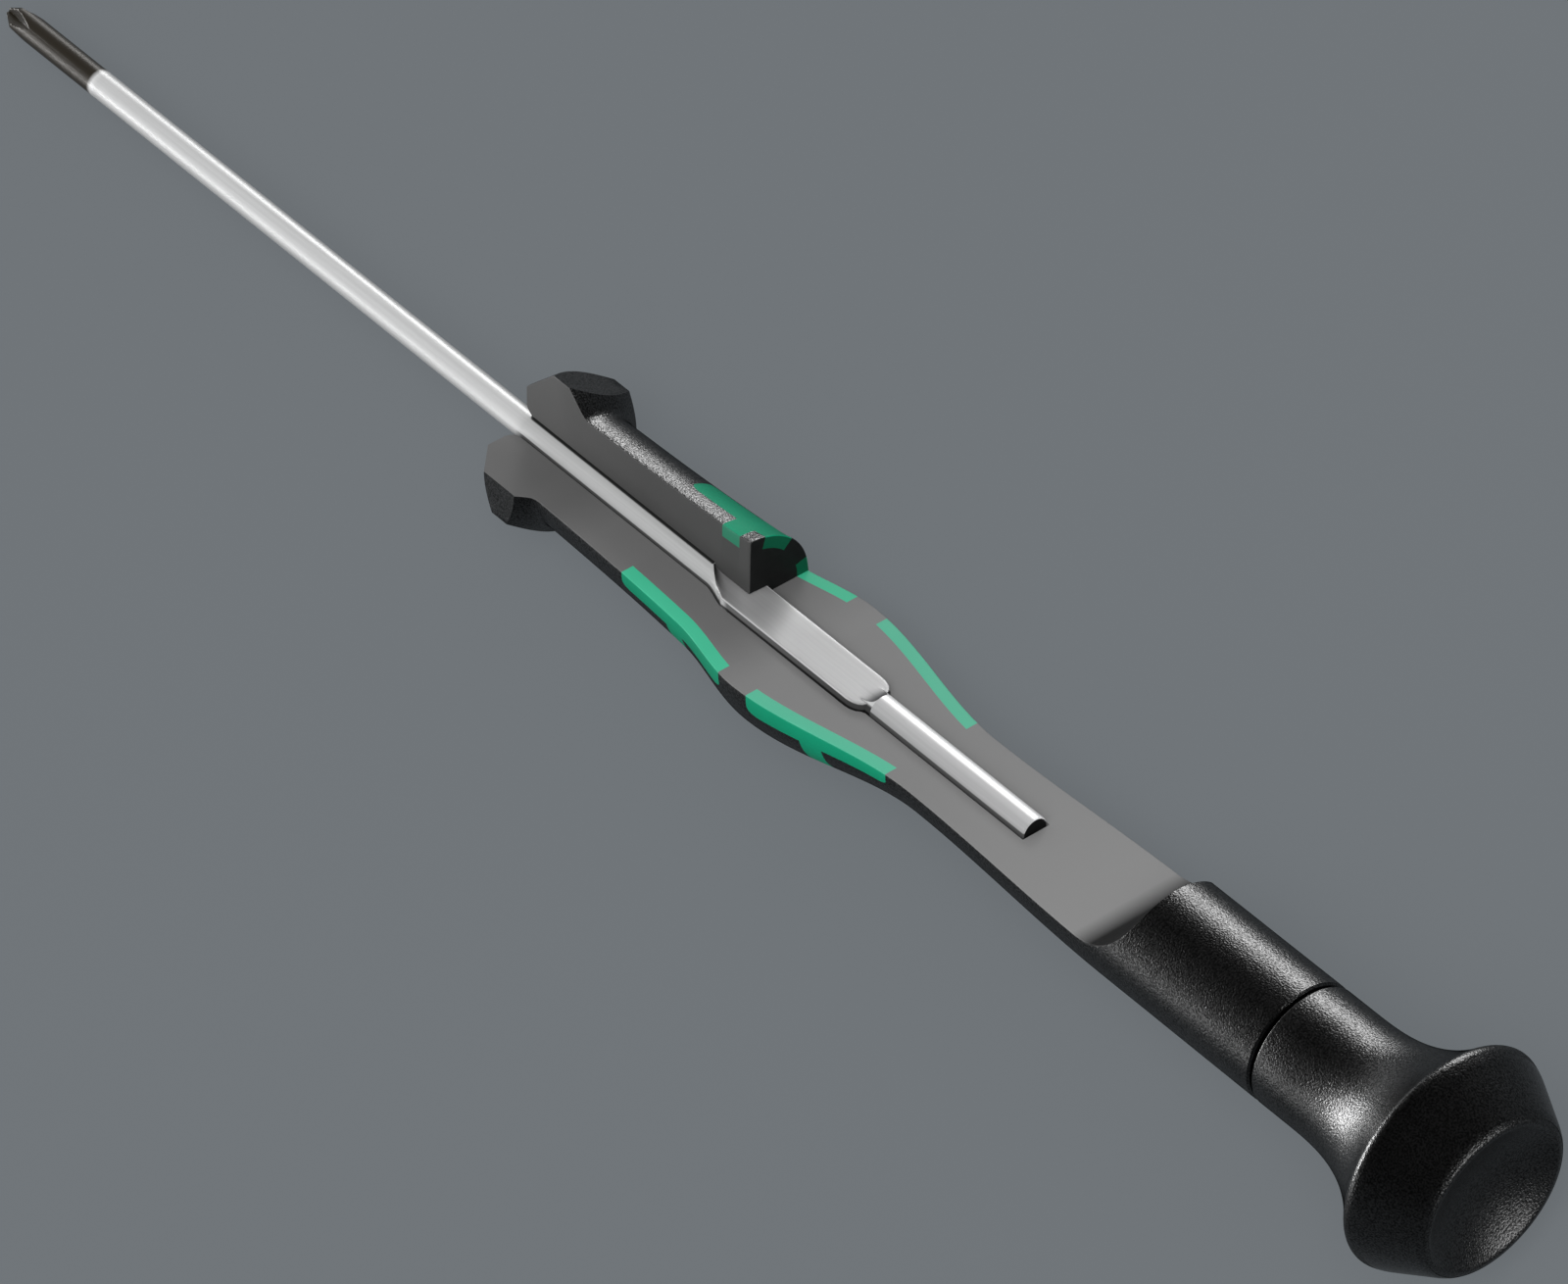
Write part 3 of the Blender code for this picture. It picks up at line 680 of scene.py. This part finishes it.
def cap_outline():
    """From the dish's centre over the rim and the flare to the front face, then into the stepped bore."""
    outline = []
    for radius in spread(0.0, DISH_RADIUS, DISH_RINGS):
        outline.append((CAP_END - DISH_DEPTH + DISH_DEPTH * (radius / DISH_RADIUS) ** 2, radius))
    lip = (CAP_END, DISH_RADIUS + DISH_LIP / 2)
    shoulder = (CAP_END - DISH_LIP / 2, DISH_RADIUS + DISH_LIP)
    rim_shoulder = (RIM_BACK, CAP_RIM_RADIUS - CAP_RIM_DROP)
    rim_edge = (RIM_FRONT, CAP_RIM_RADIUS)
    flare = []
    for share in spread(1.0, 0.0, FLARE_RINGS):
        rise = (CAP_RIM_RADIUS - REAR_RADIUS) * share ** CAP_FLARE_POWER
        flare.append((FLARE_START + CAP_FLARE * share, REAR_RADIUS + rise))
    outline += round_corner(outline[-1], lip, shoulder, LIP_ROUND)
    outline += round_corner(lip, shoulder, rim_shoulder, LIP_ROUND)
    outline += round_corner(shoulder, rim_shoulder, rim_edge, CAP_RIM_ROUND)
    outline += round_corner(rim_shoulder, rim_edge, flare[RIM_EDGE_RINGS], CAP_RIM_EDGE)
    outline += flare[RIM_EDGE_RINGS + 1:]
    outline += front_edge()
    outline += [(CAP_FRONT, CAP_RECESS), (CAP_RECESS_END, CAP_RECESS)]
    outline += [(CAP_RECESS_END, CAP_BORE), (CAP_BORE_END, CAP_BORE), (CAP_BORE_END, 0.0)]
    return outline


def build_cap():
    outline = cap_outline()
    shape = bmesh.new()
    rings = []
    for x, radius in outline:
        rings.append([(x, *polar(radius, math.tau * i / CAP_STEPS)) for i in range(CAP_STEPS)])
    skin(shape, rings)
    close(shape)
    for face in shape.faces:
        if face.calc_center_median().x > RIM_BACK:
            face.material_index = CAP_BACK
    materials = (moulded_black("black_cap_plastic"), moulded_black("black_cap_end_plastic", 1.0))
    return make_object("cap_shell", shape, materials)


# Materials


def start_material(name):
    material = bpy.data.materials.new(name)
    material.use_nodes = True
    tree = material.node_tree
    return material, tree, tree.nodes["Principled BSDF"]


def add_node(tree, kind, **inputs):
    node = tree.nodes.new(kind)
    for name, value in inputs.items():
        node.inputs[name.replace("_", " ")].default_value = value
    return node


def place_node(tree):
    return tree.nodes.new("ShaderNodeTexCoord").outputs["Object"]


def noise(tree, place, scale, detail=2.0):
    """Cloudy values about 0.5, with scale in clouds per metre."""
    node = add_node(tree, "ShaderNodeTexNoise", Scale=scale, Detail=detail)
    tree.links.new(place, node.inputs["Vector"])
    return node.outputs["Fac"]


def ramp(tree, value, *stops):
    """A colour that follows value through two or more (position, colour) stops."""
    node = tree.nodes.new("ShaderNodeValToRGB")
    elements = node.color_ramp.elements
    while len(elements) < len(stops):
        elements.new(1.0)
    for element, (position, colour) in zip(elements, stops):
        element.position = position
        element.color = (*colour, 1.0)
    tree.links.new(value, node.inputs["Fac"])
    return node.outputs["Color"]


def scaled(tree, value, low, high, from_low=0.0, from_high=1.0, blend="LINEAR"):
    """Carry value from the range from_low to from_high over to the range low to high."""
    node = tree.nodes.new("ShaderNodeMapRange")
    node.interpolation_type = blend
    for name, number in (("From Min", from_low), ("From Max", from_high), ("To Min", low), ("To Max", high)):
        node.inputs[name].default_value = number
    tree.links.new(value, node.inputs["Value"])
    return node.outputs["Result"]


def bump(tree, shader, height, strength, distance):
    node = add_node(tree, "ShaderNodeBump", Strength=strength, Distance=distance)
    tree.links.new(height, node.inputs["Height"])
    tree.links.new(node.outputs["Normal"], shader.inputs["Normal"])


def calculated(tree, operation, *values):
    node = tree.nodes.new("ShaderNodeMath")
    node.operation = operation
    for socket, value in zip(node.inputs, values):
        if isinstance(value, float):
            socket.default_value = value
        else:
            tree.links.new(value, socket)
    return node.outputs["Value"]


def product(tree, first, second):
    return calculated(tree, "MULTIPLY", first, second)


def moulded_black(name, outline_gloss=0.0):
    """Hard plastic with a fine eroded grain that sparkles in highlights and dulls the outline."""
    material, tree, shader = start_material(name)
    place = place_node(tree)
    speckle = noise(tree, place, 8000.0, detail=0.0)
    patch = noise(tree, place, 700.0)
    tint = ramp(tree, speckle, (0.3, (0.001, 0.001, 0.001)), (0.75, (0.003, 0.003, 0.003)))
    tree.links.new(tint, shader.inputs["Base Color"])
    tree.links.new(scaled(tree, patch, 0.31, 0.36), shader.inputs["Roughness"])
    facing = add_node(tree, "ShaderNodeLayerWeight", Blend=0.5).outputs["Facing"]
    outline = scaled(tree, facing, 1.0, outline_gloss, 0.45, 0.95, "SMOOTHSTEP")
    gloss = product(tree, outline, scaled(tree, speckle, 0.16, 0.56, 0.3, 0.7))
    shader.inputs["Specular IOR Level"].default_value = 0.35
    tree.links.new(gloss, shader.inputs["Specular IOR Level"])
    bump(tree, shader, speckle, 1.0, 0.000025)
    return material


def cut_black(name, tones):
    """The same plastic where it was milled open: smooth and satin, in greys that change along the handle as
    painted light and shade.
    """
    material, tree, shader = start_material(name)
    place = place_node(tree)
    split = tree.nodes.new("ShaderNodeSeparateXYZ")
    tree.links.new(place, split.inputs["Vector"])
    along = scaled(tree, split.outputs["X"], 0.0, 1.0, -TOOL_MIDDLE * MM, (HANDLE_END - TOOL_MIDDLE) * MM)
    # painted light and shade: the grey follows the given tones along the handle
    tint = ramp(tree, along, *((x / HANDLE_END, (tone, tone, 0.99 * tone)) for x, tone in tones))
    tree.links.new(tint, shader.inputs["Base Color"])
    fine = noise(tree, place, 4000.0)
    tree.links.new(scaled(tree, fine, 0.52, 0.6), shader.inputs["Roughness"])
    shader.inputs["Specular IOR Level"].default_value = 0.08
    return material


def painted_shade_end(name, dark, light):
    """Faces cut square across, painted nearly black as shade."""
    material, tree, shader = start_material(name)
    cloud = noise(tree, place_node(tree), 2500.0)
    tree.links.new(ramp(tree, cloud, (0.3, dark), (0.7, light)), shader.inputs["Base Color"])
    tree.links.new(scaled(tree, cloud, 0.5, 0.6), shader.inputs["Roughness"])
    shader.inputs["Specular IOR Level"].default_value = 0.08
    return material


def soft_green(name, dark, light, roughness, relief):
    """Soft grip plastic, slightly cloudy, with a fine matt skin."""
    material, tree, shader = start_material(name)
    place = place_node(tree)
    fine = noise(tree, place, 5500.0)
    cloud = noise(tree, place, 140.0)
    tree.links.new(ramp(tree, cloud, (0.35, dark), (0.65, light)), shader.inputs["Base Color"])
    tree.links.new(scaled(tree, fine, roughness - 0.05, roughness + 0.05), shader.inputs["Roughness"])
    shader.inputs["Specular IOR Level"].default_value = 0.05
    bump(tree, shader, fine, relief, 0.00003)
    return material


def colour_mix(tree, first, second, blend="MIX"):
    mix = tree.nodes.new("ShaderNodeMix")
    mix.data_type = "RGBA"
    mix.blend_type = blend
    tree.links.new(first, mix.inputs["A"])
    tree.links.new(second, mix.inputs["B"])
    return mix


def blended(tree, factor, first, second):
    mix = colour_mix(tree, first, second)
    tree.links.new(factor, mix.inputs["Factor"])
    return mix.outputs["Result"]


def multiplied(tree, first, second):
    mix = colour_mix(tree, first, second, "MULTIPLY")
    mix.inputs["Factor"].default_value = 1.0
    return mix.outputs["Result"]


def measured(tree, place, axis):
    """How far a place lies along an axis."""
    node = tree.nodes.new("ShaderNodeVectorMath")
    node.operation = "DOT_PRODUCT"
    node.inputs[1].default_value = axis
    tree.links.new(place, node.inputs[0])
    return node.outputs["Value"]


def blade_measures(tree, place):
    """Where a place lies on the blade.

    along is a share of its length, across and radius are shares of the rod's radius, and height is a share
    of half the wings' thickness.
    """
    axes = [measured(tree, place, PLACE.to_3x3().col[i].normalized()) for i in range(3)]
    front, end = (BLADE_FRONT - TOOL_MIDDLE) * MM, (BLADE_END - TOOL_MIDDLE) * MM
    along = scaled(tree, axes[0], 0.0, 1.0, front, end)
    across = calculated(tree, "DIVIDE", axes[1], BLADE_RADIUS * MM)
    upward = calculated(tree, "DIVIDE", axes[2], BLADE_RADIUS * MM)
    sum_of_squares = calculated(tree, "ADD", product(tree, across, across), product(tree, upward, upward))
    radius = calculated(tree, "SQRT", sum_of_squares)
    height = product(tree, calculated(tree, "ABSOLUTE", upward), 2 * BLADE_RADIUS / WING_THICKNESS)
    return along, across, height, radius


def blade_share(x):
    return (x - BLADE_FRONT) / (BLADE_END - BLADE_FRONT)


def grey(tone):
    return (tone, tone, tone)


def blade_ramp(tree, along, *stops):
    """A ramp along the blade, with stops as (x, colour)."""
    return ramp(tree, along, *((blade_share(x), colour) for x, colour in stops))


def past(tree, along, x):
    """1 behind x on the blade, 0 ahead of it."""
    return calculated(tree, "GREATER_THAN", along, blade_share(x))


def behind_bow(tree, along, across):
    """The place along the blade, less what the bowed front edge of the flats lies further back there."""
    bow = WING_SPREAD / (BLADE_END - BLADE_FRONT) * (2 * BLADE_RADIUS / WING_WIDTH) ** WING_BOW
    sideways = calculated(tree, "POWER", calculated(tree, "ABSOLUTE", across), WING_BOW)
    return calculated(tree, "SUBTRACT", along, product(tree, sideways, bow))


def rod_tone(tree, along, across):
    """Steel with a blackened point that ends in a thin brighter line, darker inside the handle as painted
    shade; behind the wings, lighter towards one side as painted light.
    """
    rod = blade_ramp(
        tree, along,
        (BLADE_FRONT, BLACKENED), (DARK_POINT_END - 2 * TONE_LINE, BLACKENED),
        (DARK_POINT_END - TONE_LINE, grey(0.005)), (DARK_POINT_END, grey(0.95)),
        (DARK_POINT_END + 2 * TONE_LINE, STEEL), (-TONE_LINE, STEEL),
        (5 * TONE_LINE, SHADED_SEATED_STEEL), (WING_START, SHADED_SEATED_STEEL), (WING_END, STEEL),
    )
    from_side = scaled(tree, across, 0.0, 1.0, -1.0, 1.0)
    # painted light: behind the wings the rod lightens from grey to white towards one side
    tail = ramp(tree, from_side, (0.2, grey(0.46)), (0.4, grey(0.6)), (0.55, WHITE))
    return blended(tree, past(tree, along, WING_END), rod, tail)


def seated_painted_shade(tree, rod, along, height):
    """Painted shade on the rod in the handle: darker low on its sides, and a little further up behind the
    wings.
    """
    lift = product(tree, past(tree, along, WING_END), TAIL_EDGE_LIFT)
    above_edge = calculated(tree, "SUBTRACT", height, lift)
    rod_edge_shade = ramp(tree, above_edge, (0.24, grey(FLANK_SHADE)), (0.36, WHITE))
    into_mouth = scaled(tree, along, 0.0, 1.0, blade_share(0.0), blade_share(MOUTH_ROUND))
    return blended(tree, into_mouth, rod, multiplied(tree, rod, rod_edge_shade))


def wing_painted_shading(tree, along, bowed, height):
    """Pressed steel: dull flats whose grey changes along them as painted shading, painted shade up their steps
    and on the flanks, and a painted highlight along the corners.
    """
    # painted shading: the flats' grey is darkest at their bowed front edge and changes along them
    pressed = blade_ramp(
        tree, bowed,
        (WING_START, grey(0.1)), (WING_START + 0.5, grey(0.2)), (WING_START + 3.0, grey(0.33)),
        (WING_MIDDLE, grey(0.27)), (RAMP_TONE_START, grey(0.29)), (WING_END, grey(0.2)),
    )
    # painted shade: darker up the steps and ramps where the flats rise to the rod
    up_step = scaled(tree, height, 0.0, 1.0, 1.0, 2 * BLADE_RADIUS / WING_THICKNESS)
    step = ramp(tree, up_step, (0.0, WHITE), (0.4, grey(0.4)), (1.0, grey(0.12)))
    # painted shade: the wings' flanks darken behind the shoulder and towards the end, and low down at their
    # foot
    flank = blade_ramp(
        tree, along,
        (WING_START, grey(SHOULDER_SHADE)), (SHOULDER_END - TONE_LINE, grey(SHOULDER_SHADE)),
        (SHOULDER_END + TONE_LINE, grey(FLANK_SHADE)), (WING_END, grey(FLANK_SHADE / 4)),
    )
    foot = ramp(tree, height, (0.1, grey(FLANK_SHADE)), (0.25, WHITE))
    on_flat = scaled(tree, height, 0.0, 1.0, 0.85, 0.95)
    wing = blended(tree, on_flat, multiplied(tree, flank, foot), multiplied(tree, pressed, step))
    # painted highlight: a bright line along the wings' corners, dimmer towards their end
    corner = ramp(tree, height, (0.91, grey(0.0)), (0.95, WHITE), (0.985, WHITE), (0.997, grey(0.0)))
    corner_highlight = blade_ramp(tree, along, (RAMP_TONE_START, grey(0.6)), (WING_END, grey(0.2)))
    return blended(tree, corner, wing, corner_highlight)


def wing_mask(tree, along, bowed, height, radius):
    """1 between the flats' bowed front edge and the wings' end, except on the rod that rises there."""
    between = calculated(tree, "SUBTRACT", past(tree, bowed, WING_START), past(tree, along, WING_END))
    outermost = calculated(tree, "GREATER_THAN", radius, ROD_SURFACE)
    raised = calculated(tree, "GREATER_THAN", height, ABOVE_FLATS)
    on_rod = product(tree, past(tree, along, RAMP_TONE_START), product(tree, outermost, raised))
    return product(tree, between, calculated(tree, "SUBTRACT", 1.0, on_rod))


def quarter_contact_shadow(tree, bare, along, across):
    """Add a painted shadow beside the standing quarter, where the rod meets it; it draws back where the mouth
    opens.
    """
    beside_quarter = calculated(tree, "SUBTRACT", past(tree, along, 0.0), past(tree, along, WING_START))
    opening = scaled(tree, along, 1.0, 0.0, blade_share(0.0), blade_share(MOUTH_ROUND))
    from_mouth = calculated(tree, "SUBTRACT", across, product(tree, opening, opening))
    nearness = scaled(tree, from_mouth, 0.0, 1.0, CONTACT_SHADOW_START, CONTACT_SHADOW_FULL)
    contact = ramp(tree, nearness, (0.0, WHITE), (1.0, grey(0.05)))
    return blended(tree, beside_quarter, bare, multiplied(tree, bare, contact))


def blade_tint(tree, place):
    """The blade's colour with its painted light: the rod, the wings over it, and the painted shadow beside the
    standing quarter.
    """
    along, across, height, radius = blade_measures(tree, place)
    bowed = behind_bow(tree, along, across)
    seated = seated_painted_shade(tree, rod_tone(tree, along, across), along, height)
    on_wing = wing_mask(tree, along, bowed, height, radius)
    bare = blended(tree, on_wing, seated, wing_painted_shading(tree, along, bowed, height))
    return quarter_contact_shadow(tree, bare, along, across)


def blade_steel():
    """Satin steel, drawn along its length."""
    material, tree, shader = start_material("blade_steel")
    place = place_node(tree)
    drawn = tree.nodes.new("ShaderNodeMapping")
    drawn.inputs["Scale"].default_value = (60.0, 5000.0, 5000.0)
    tree.links.new(place, drawn.inputs["Vector"])
    lines = noise(tree, drawn.outputs["Vector"], 1.0)
    streak = ramp(tree, lines, (0.3, grey(0.9)), (0.7, WHITE))
    # the base colour carries the blade's painted shade and highlights
    tree.links.new(multiplied(tree, blade_tint(tree, place), streak), shader.inputs["Base Color"])
    shader.inputs["Metallic"].default_value = 0.1
    shader.inputs["Specular IOR Level"].default_value = 0.2
    tree.links.new(scaled(tree, lines, 0.34, 0.44), shader.inputs["Roughness"])
    bump(tree, shader, lines, 0.06, 0.00001)
    return material


def bearing_metal(name, dark, light, roughness):
    """Metal with fine turning marks."""
    material, tree, shader = start_material(name)
    turned_marks = tree.nodes.new("ShaderNodeMapping")
    turned_marks.inputs["Scale"].default_value = (9000.0, 300.0, 300.0)
    tree.links.new(place_node(tree), turned_marks.inputs["Vector"])
    marks = noise(tree, turned_marks.outputs["Vector"], 1.0)
    tree.links.new(ramp(tree, marks, (0.3, dark), (0.7, light)), shader.inputs["Base Color"])
    tree.links.new(scaled(tree, marks, roughness - 0.06, roughness + 0.06), shader.inputs["Roughness"])
    shader.inputs["Metallic"].default_value = 1.0
    bump(tree, shader, marks, 0.15, 0.00001)
    return material


def bearing_polymer():
    """Pale, slightly cloudy plastic."""
    material, tree, shader = start_material("washer_polymer")
    place = place_node(tree)
    cloud = noise(tree, place, 900.0)
    tint = ramp(tree, cloud, (0.3, (0.7, 0.68, 0.62)), (0.7, (0.8, 0.78, 0.72)))
    tree.links.new(tint, shader.inputs["Base Color"])
    tree.links.new(scaled(tree, cloud, 0.4, 0.5), shader.inputs["Roughness"])
    bump(tree, shader, noise(tree, place, 5000.0), 0.1, 0.00002)
    return material


def floor_paper():
    """Matt paper; as seen and as mirrored it is partly evened out, so that only a soft shadow stays."""
    material, tree, shader = start_material("floor_paper")
    place = place_node(tree)
    cloud = noise(tree, place, 6.0)
    tint = ramp(tree, cloud, (0.2, FLOOR_DARK), (0.8, FLOOR_LIGHT))
    tree.links.new(tint, shader.inputs["Base Color"])
    shader.inputs["Roughness"].default_value = 0.9
    shader.inputs["Specular IOR Level"].default_value = 0.0
    even = add_node(tree, "ShaderNodeEmission", Color=(*BACKDROP, 1.0), Strength=1.0)
    shade = tree.nodes.new("ShaderNodeMixShader")
    path = tree.nodes.new("ShaderNodeLightPath")
    seen = scaled(tree, path.outputs["Is Diffuse Ray"], FLOOR_EVENNESS, 0.0)
    tree.links.new(seen, shade.inputs["Fac"])
    tree.links.new(shader.outputs["BSDF"], shade.inputs[1])
    tree.links.new(even.outputs["Emission"], shade.inputs[2])
    tree.links.new(shade.outputs["Shader"], tree.nodes["Material Output"].inputs["Surface"])
    return material


# Stage


def build_floor():
    """A floor under the nose's lower flat and the cap's rim, on which the tool lies slightly tilted."""
    rim_x = (RIM_FRONT + RIM_BACK) / 2 - TOOL_MIDDLE
    rim_z = -(CAP_RIM_RADIUS + FLOOR_GAP)
    flat_x = FLOOR_TOUCH - TOOL_MIDDLE
    slope = (-FLAT_DISTANCE - rim_z) / (flat_x - rim_x)
    shape = bmesh.new()
    steps = spread(-FLOOR_REACH, FLOOR_REACH, FLOOR_CELLS)
    rows = []
    for x in steps:
        z = rim_z + slope * (x - rim_x)
        rows.append([shape.verts.new(MM * Vector((x, y, z))) for y in steps])
    for row, following in zip(rows, rows[1:]):
        for i in range(len(steps) - 1):
            shape.faces.new((row[i], following[i], following[i + 1], row[i + 1]))
    floor = make_object("floor", shape, (floor_paper(),))


def add_softbox(name, direction, distance, width, height, radiance):
    lamp = bpy.data.lights.new(name, "AREA")
    lamp.shape = "RECTANGLE"
    lamp.size = width
    lamp.size_y = height
    lamp.energy = radiance * math.pi * width * height
    box = bpy.data.objects.new(name, lamp)
    away = Vector(direction).normalized()
    box.location = away * distance
    box.rotation_euler = away.to_track_quat("Z", "Y").to_euler()
    box.visible_camera = False
    bpy.context.scene.collection.objects.link(box)
    return box


def build_lights():
    """Low softboxes that draw the highlights, and a large soft light from above for matt surfaces."""
    highlights = (
        ("key_softbox", (-0.485, 0.875, 0.1), 0.45, 0.45, 19.0),
        ("front_softbox", (-1.0, 0.2, 0.1), 0.6, 0.3, 2.0),
        ("side_softbox", (-0.9, -0.42, 0.04), 0.45, 0.3, 50.0),
        ("low_softbox", (-0.52, -0.85, 0.05), 0.45, 0.3, 5.0),
        ("rear_softbox", (0.9, 0.2, 0.06), 0.6, 0.25, 14.0),
    )
    for name, direction, width, height, radiance in highlights:
        box = add_softbox(name, direction, HIGHLIGHT_DISTANCE, width, height, radiance)
        box.visible_diffuse = False
    overhead = add_softbox("soft_light", direction=(0.38, -0.2, 0.85), distance=1.2, width=1.0, height=1.0,
                           radiance=3.4)
    overhead.visible_glossy = False


def build_world():
    """Even light on matt surfaces; as seen and as mirrored, the floor's tone under a dark ceiling."""
    world = bpy.data.worlds.new("studio")
    world.use_nodes = True
    bpy.context.scene.world = world
    tree = world.node_tree
    background = tree.nodes["Background"]
    split = tree.nodes.new("ShaderNodeSeparateXYZ")
    tree.links.new(tree.nodes.new("ShaderNodeTexCoord").outputs["Generated"], split.inputs["Vector"])
    room = ramp(tree, split.outputs["Z"], (0.15, BACKDROP), (0.4, CEILING))
    light = tree.nodes.new("ShaderNodeMix")
    light.data_type = "RGBA"
    light.inputs["B"].default_value = (*FILL, 1.0)
    tree.links.new(tree.nodes.new("ShaderNodeLightPath").outputs["Is Diffuse Ray"], light.inputs["Factor"])
    tree.links.new(room, light.inputs["A"])
    tree.links.new(light.outputs["Result"], background.inputs["Color"])
    background.inputs["Strength"].default_value = 1.0


def build_camera():
    """The photograph's view, fitted to the cut-away's own edges."""
    right = Vector((0.64305, 0.67228, -0.36678))
    up = Vector((-0.51503, 0.73409, 0.44255))
    back = Vector((0.56677, -0.09568, 0.81831))
    eye = Vector((0.347707, -0.057669, 0.487976))
    camera = bpy.data.cameras.new("photo_camera")
    camera.sensor_width = 36.0
    camera.lens = 203.8
    camera.clip_start = 0.01
    camera.clip_end = 20.0
    thing = bpy.data.objects.new("photo_camera", camera)
    turn = Matrix((right, up, back)).transposed().to_4x4()
    thing.matrix_world = Matrix.Translation(eye) @ turn
    bpy.context.scene.collection.objects.link(thing)
    bpy.context.scene.camera = thing


# Assembly


def core_materials():
    """The handle's materials, in the order of its slots."""
    moulded = moulded_black("black_hard_plastic")
    section = cut_black("black_plastic_section", SECTION_PAINTED_SHADING)
    # painted shade: the face cut square across the handle is near black, where the other cut faces are grey
    end = painted_shade_end("black_plastic_end_painted_shade", (0.007, 0.0075, 0.0075), (0.01, 0.0105, 0.0105))
    # painted shade: the upright face is a darker copy of the cut plastic
    upright = cut_black("black_plastic_upright_painted_shade", UPRIGHT_PAINTED_SHADE)
    return moulded, section, end, upright


def cut_green(place, dark, light):
    return soft_green("green_soft_plastic_" + place, dark, light, roughness=0.5, relief=0.05)


def pad_materials():
    """The pads' materials for each row, in the order of the handle's slots."""
    moulded = soft_green("green_soft_plastic", (0.004, 0.31, 0.16), (0.006, 0.34, 0.18),
                         roughness=0.55, relief=0.3)
    sections = {
        "front": cut_green("cut_front", (0.049, 0.48, 0.275), (0.058, 0.51, 0.3)),
        "rear": cut_green("cut_rear", (0.08, 0.46, 0.29), (0.095, 0.49, 0.315)),
    }
    # painted shade: the pads' face cut square across is a dark copy of their cut green
    end = cut_green("end", (0.004, 0.1, 0.05), (0.005, 0.12, 0.06))
    # painted shade: the pads' upright face is a darker copy of their cut green
    upright = cut_green("upright", (0.03, 0.22, 0.13), (0.036, 0.24, 0.145))
    return {row: (moulded, section, end, upright) for row, section in sections.items()}


def build_handle():
    """The core, and the pads that are cut from the same blank and let into it."""
    core = build_handle_blank(core_materials())
    greens = pad_materials()
    for row in PAD_ROWS:
        pocket = pad_pocket(row)
        grip = copy_object(core, row + "_grip_pads")
        combine(grip, "INTERSECT", pocket)
        combine(core, "DIFFERENCE", pocket)
        remove_object(pocket)
        for index, material in enumerate(greens[row]):
            grip.data.materials[index] = material
        finish_piece(grip, "handle", row + "_soft_grip")
    core.name = "handle_body"
    finish_piece(core, "handle", "handle_core")


def dress_bearing():
    """Materials for the bearing's pieces, whose solids stay as the frame gives them."""
    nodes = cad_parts
    finishes = {
        "cap_pivot_pin": bearing_metal("pin_steel", (0.55, 0.56, 0.58), (0.68, 0.69, 0.7), 0.28),
        "cap_retaining_ring": bearing_metal("spring_steel", (0.33, 0.33, 0.35), (0.45, 0.45, 0.47), 0.3),
        "cap_bearing_bush": bearing_metal("bearing_bronze", (0.5, 0.32, 0.13), (0.68, 0.46, 0.22), 0.35),
        "cap_thrust_washer": bearing_polymer(),
    }
    for name, material in finishes.items():
        for slot in nodes[name].material_slots:
            slot.material = material


bpy.context.scene.view_settings.view_transform = "Standard"
build_camera()
build_world()
build_lights()
build_floor()
finish_piece(build_blade(), "handle", "blade")
build_handle()
finish_piece(build_cap(), "cap", "swivel_cap")
dress_bearing()
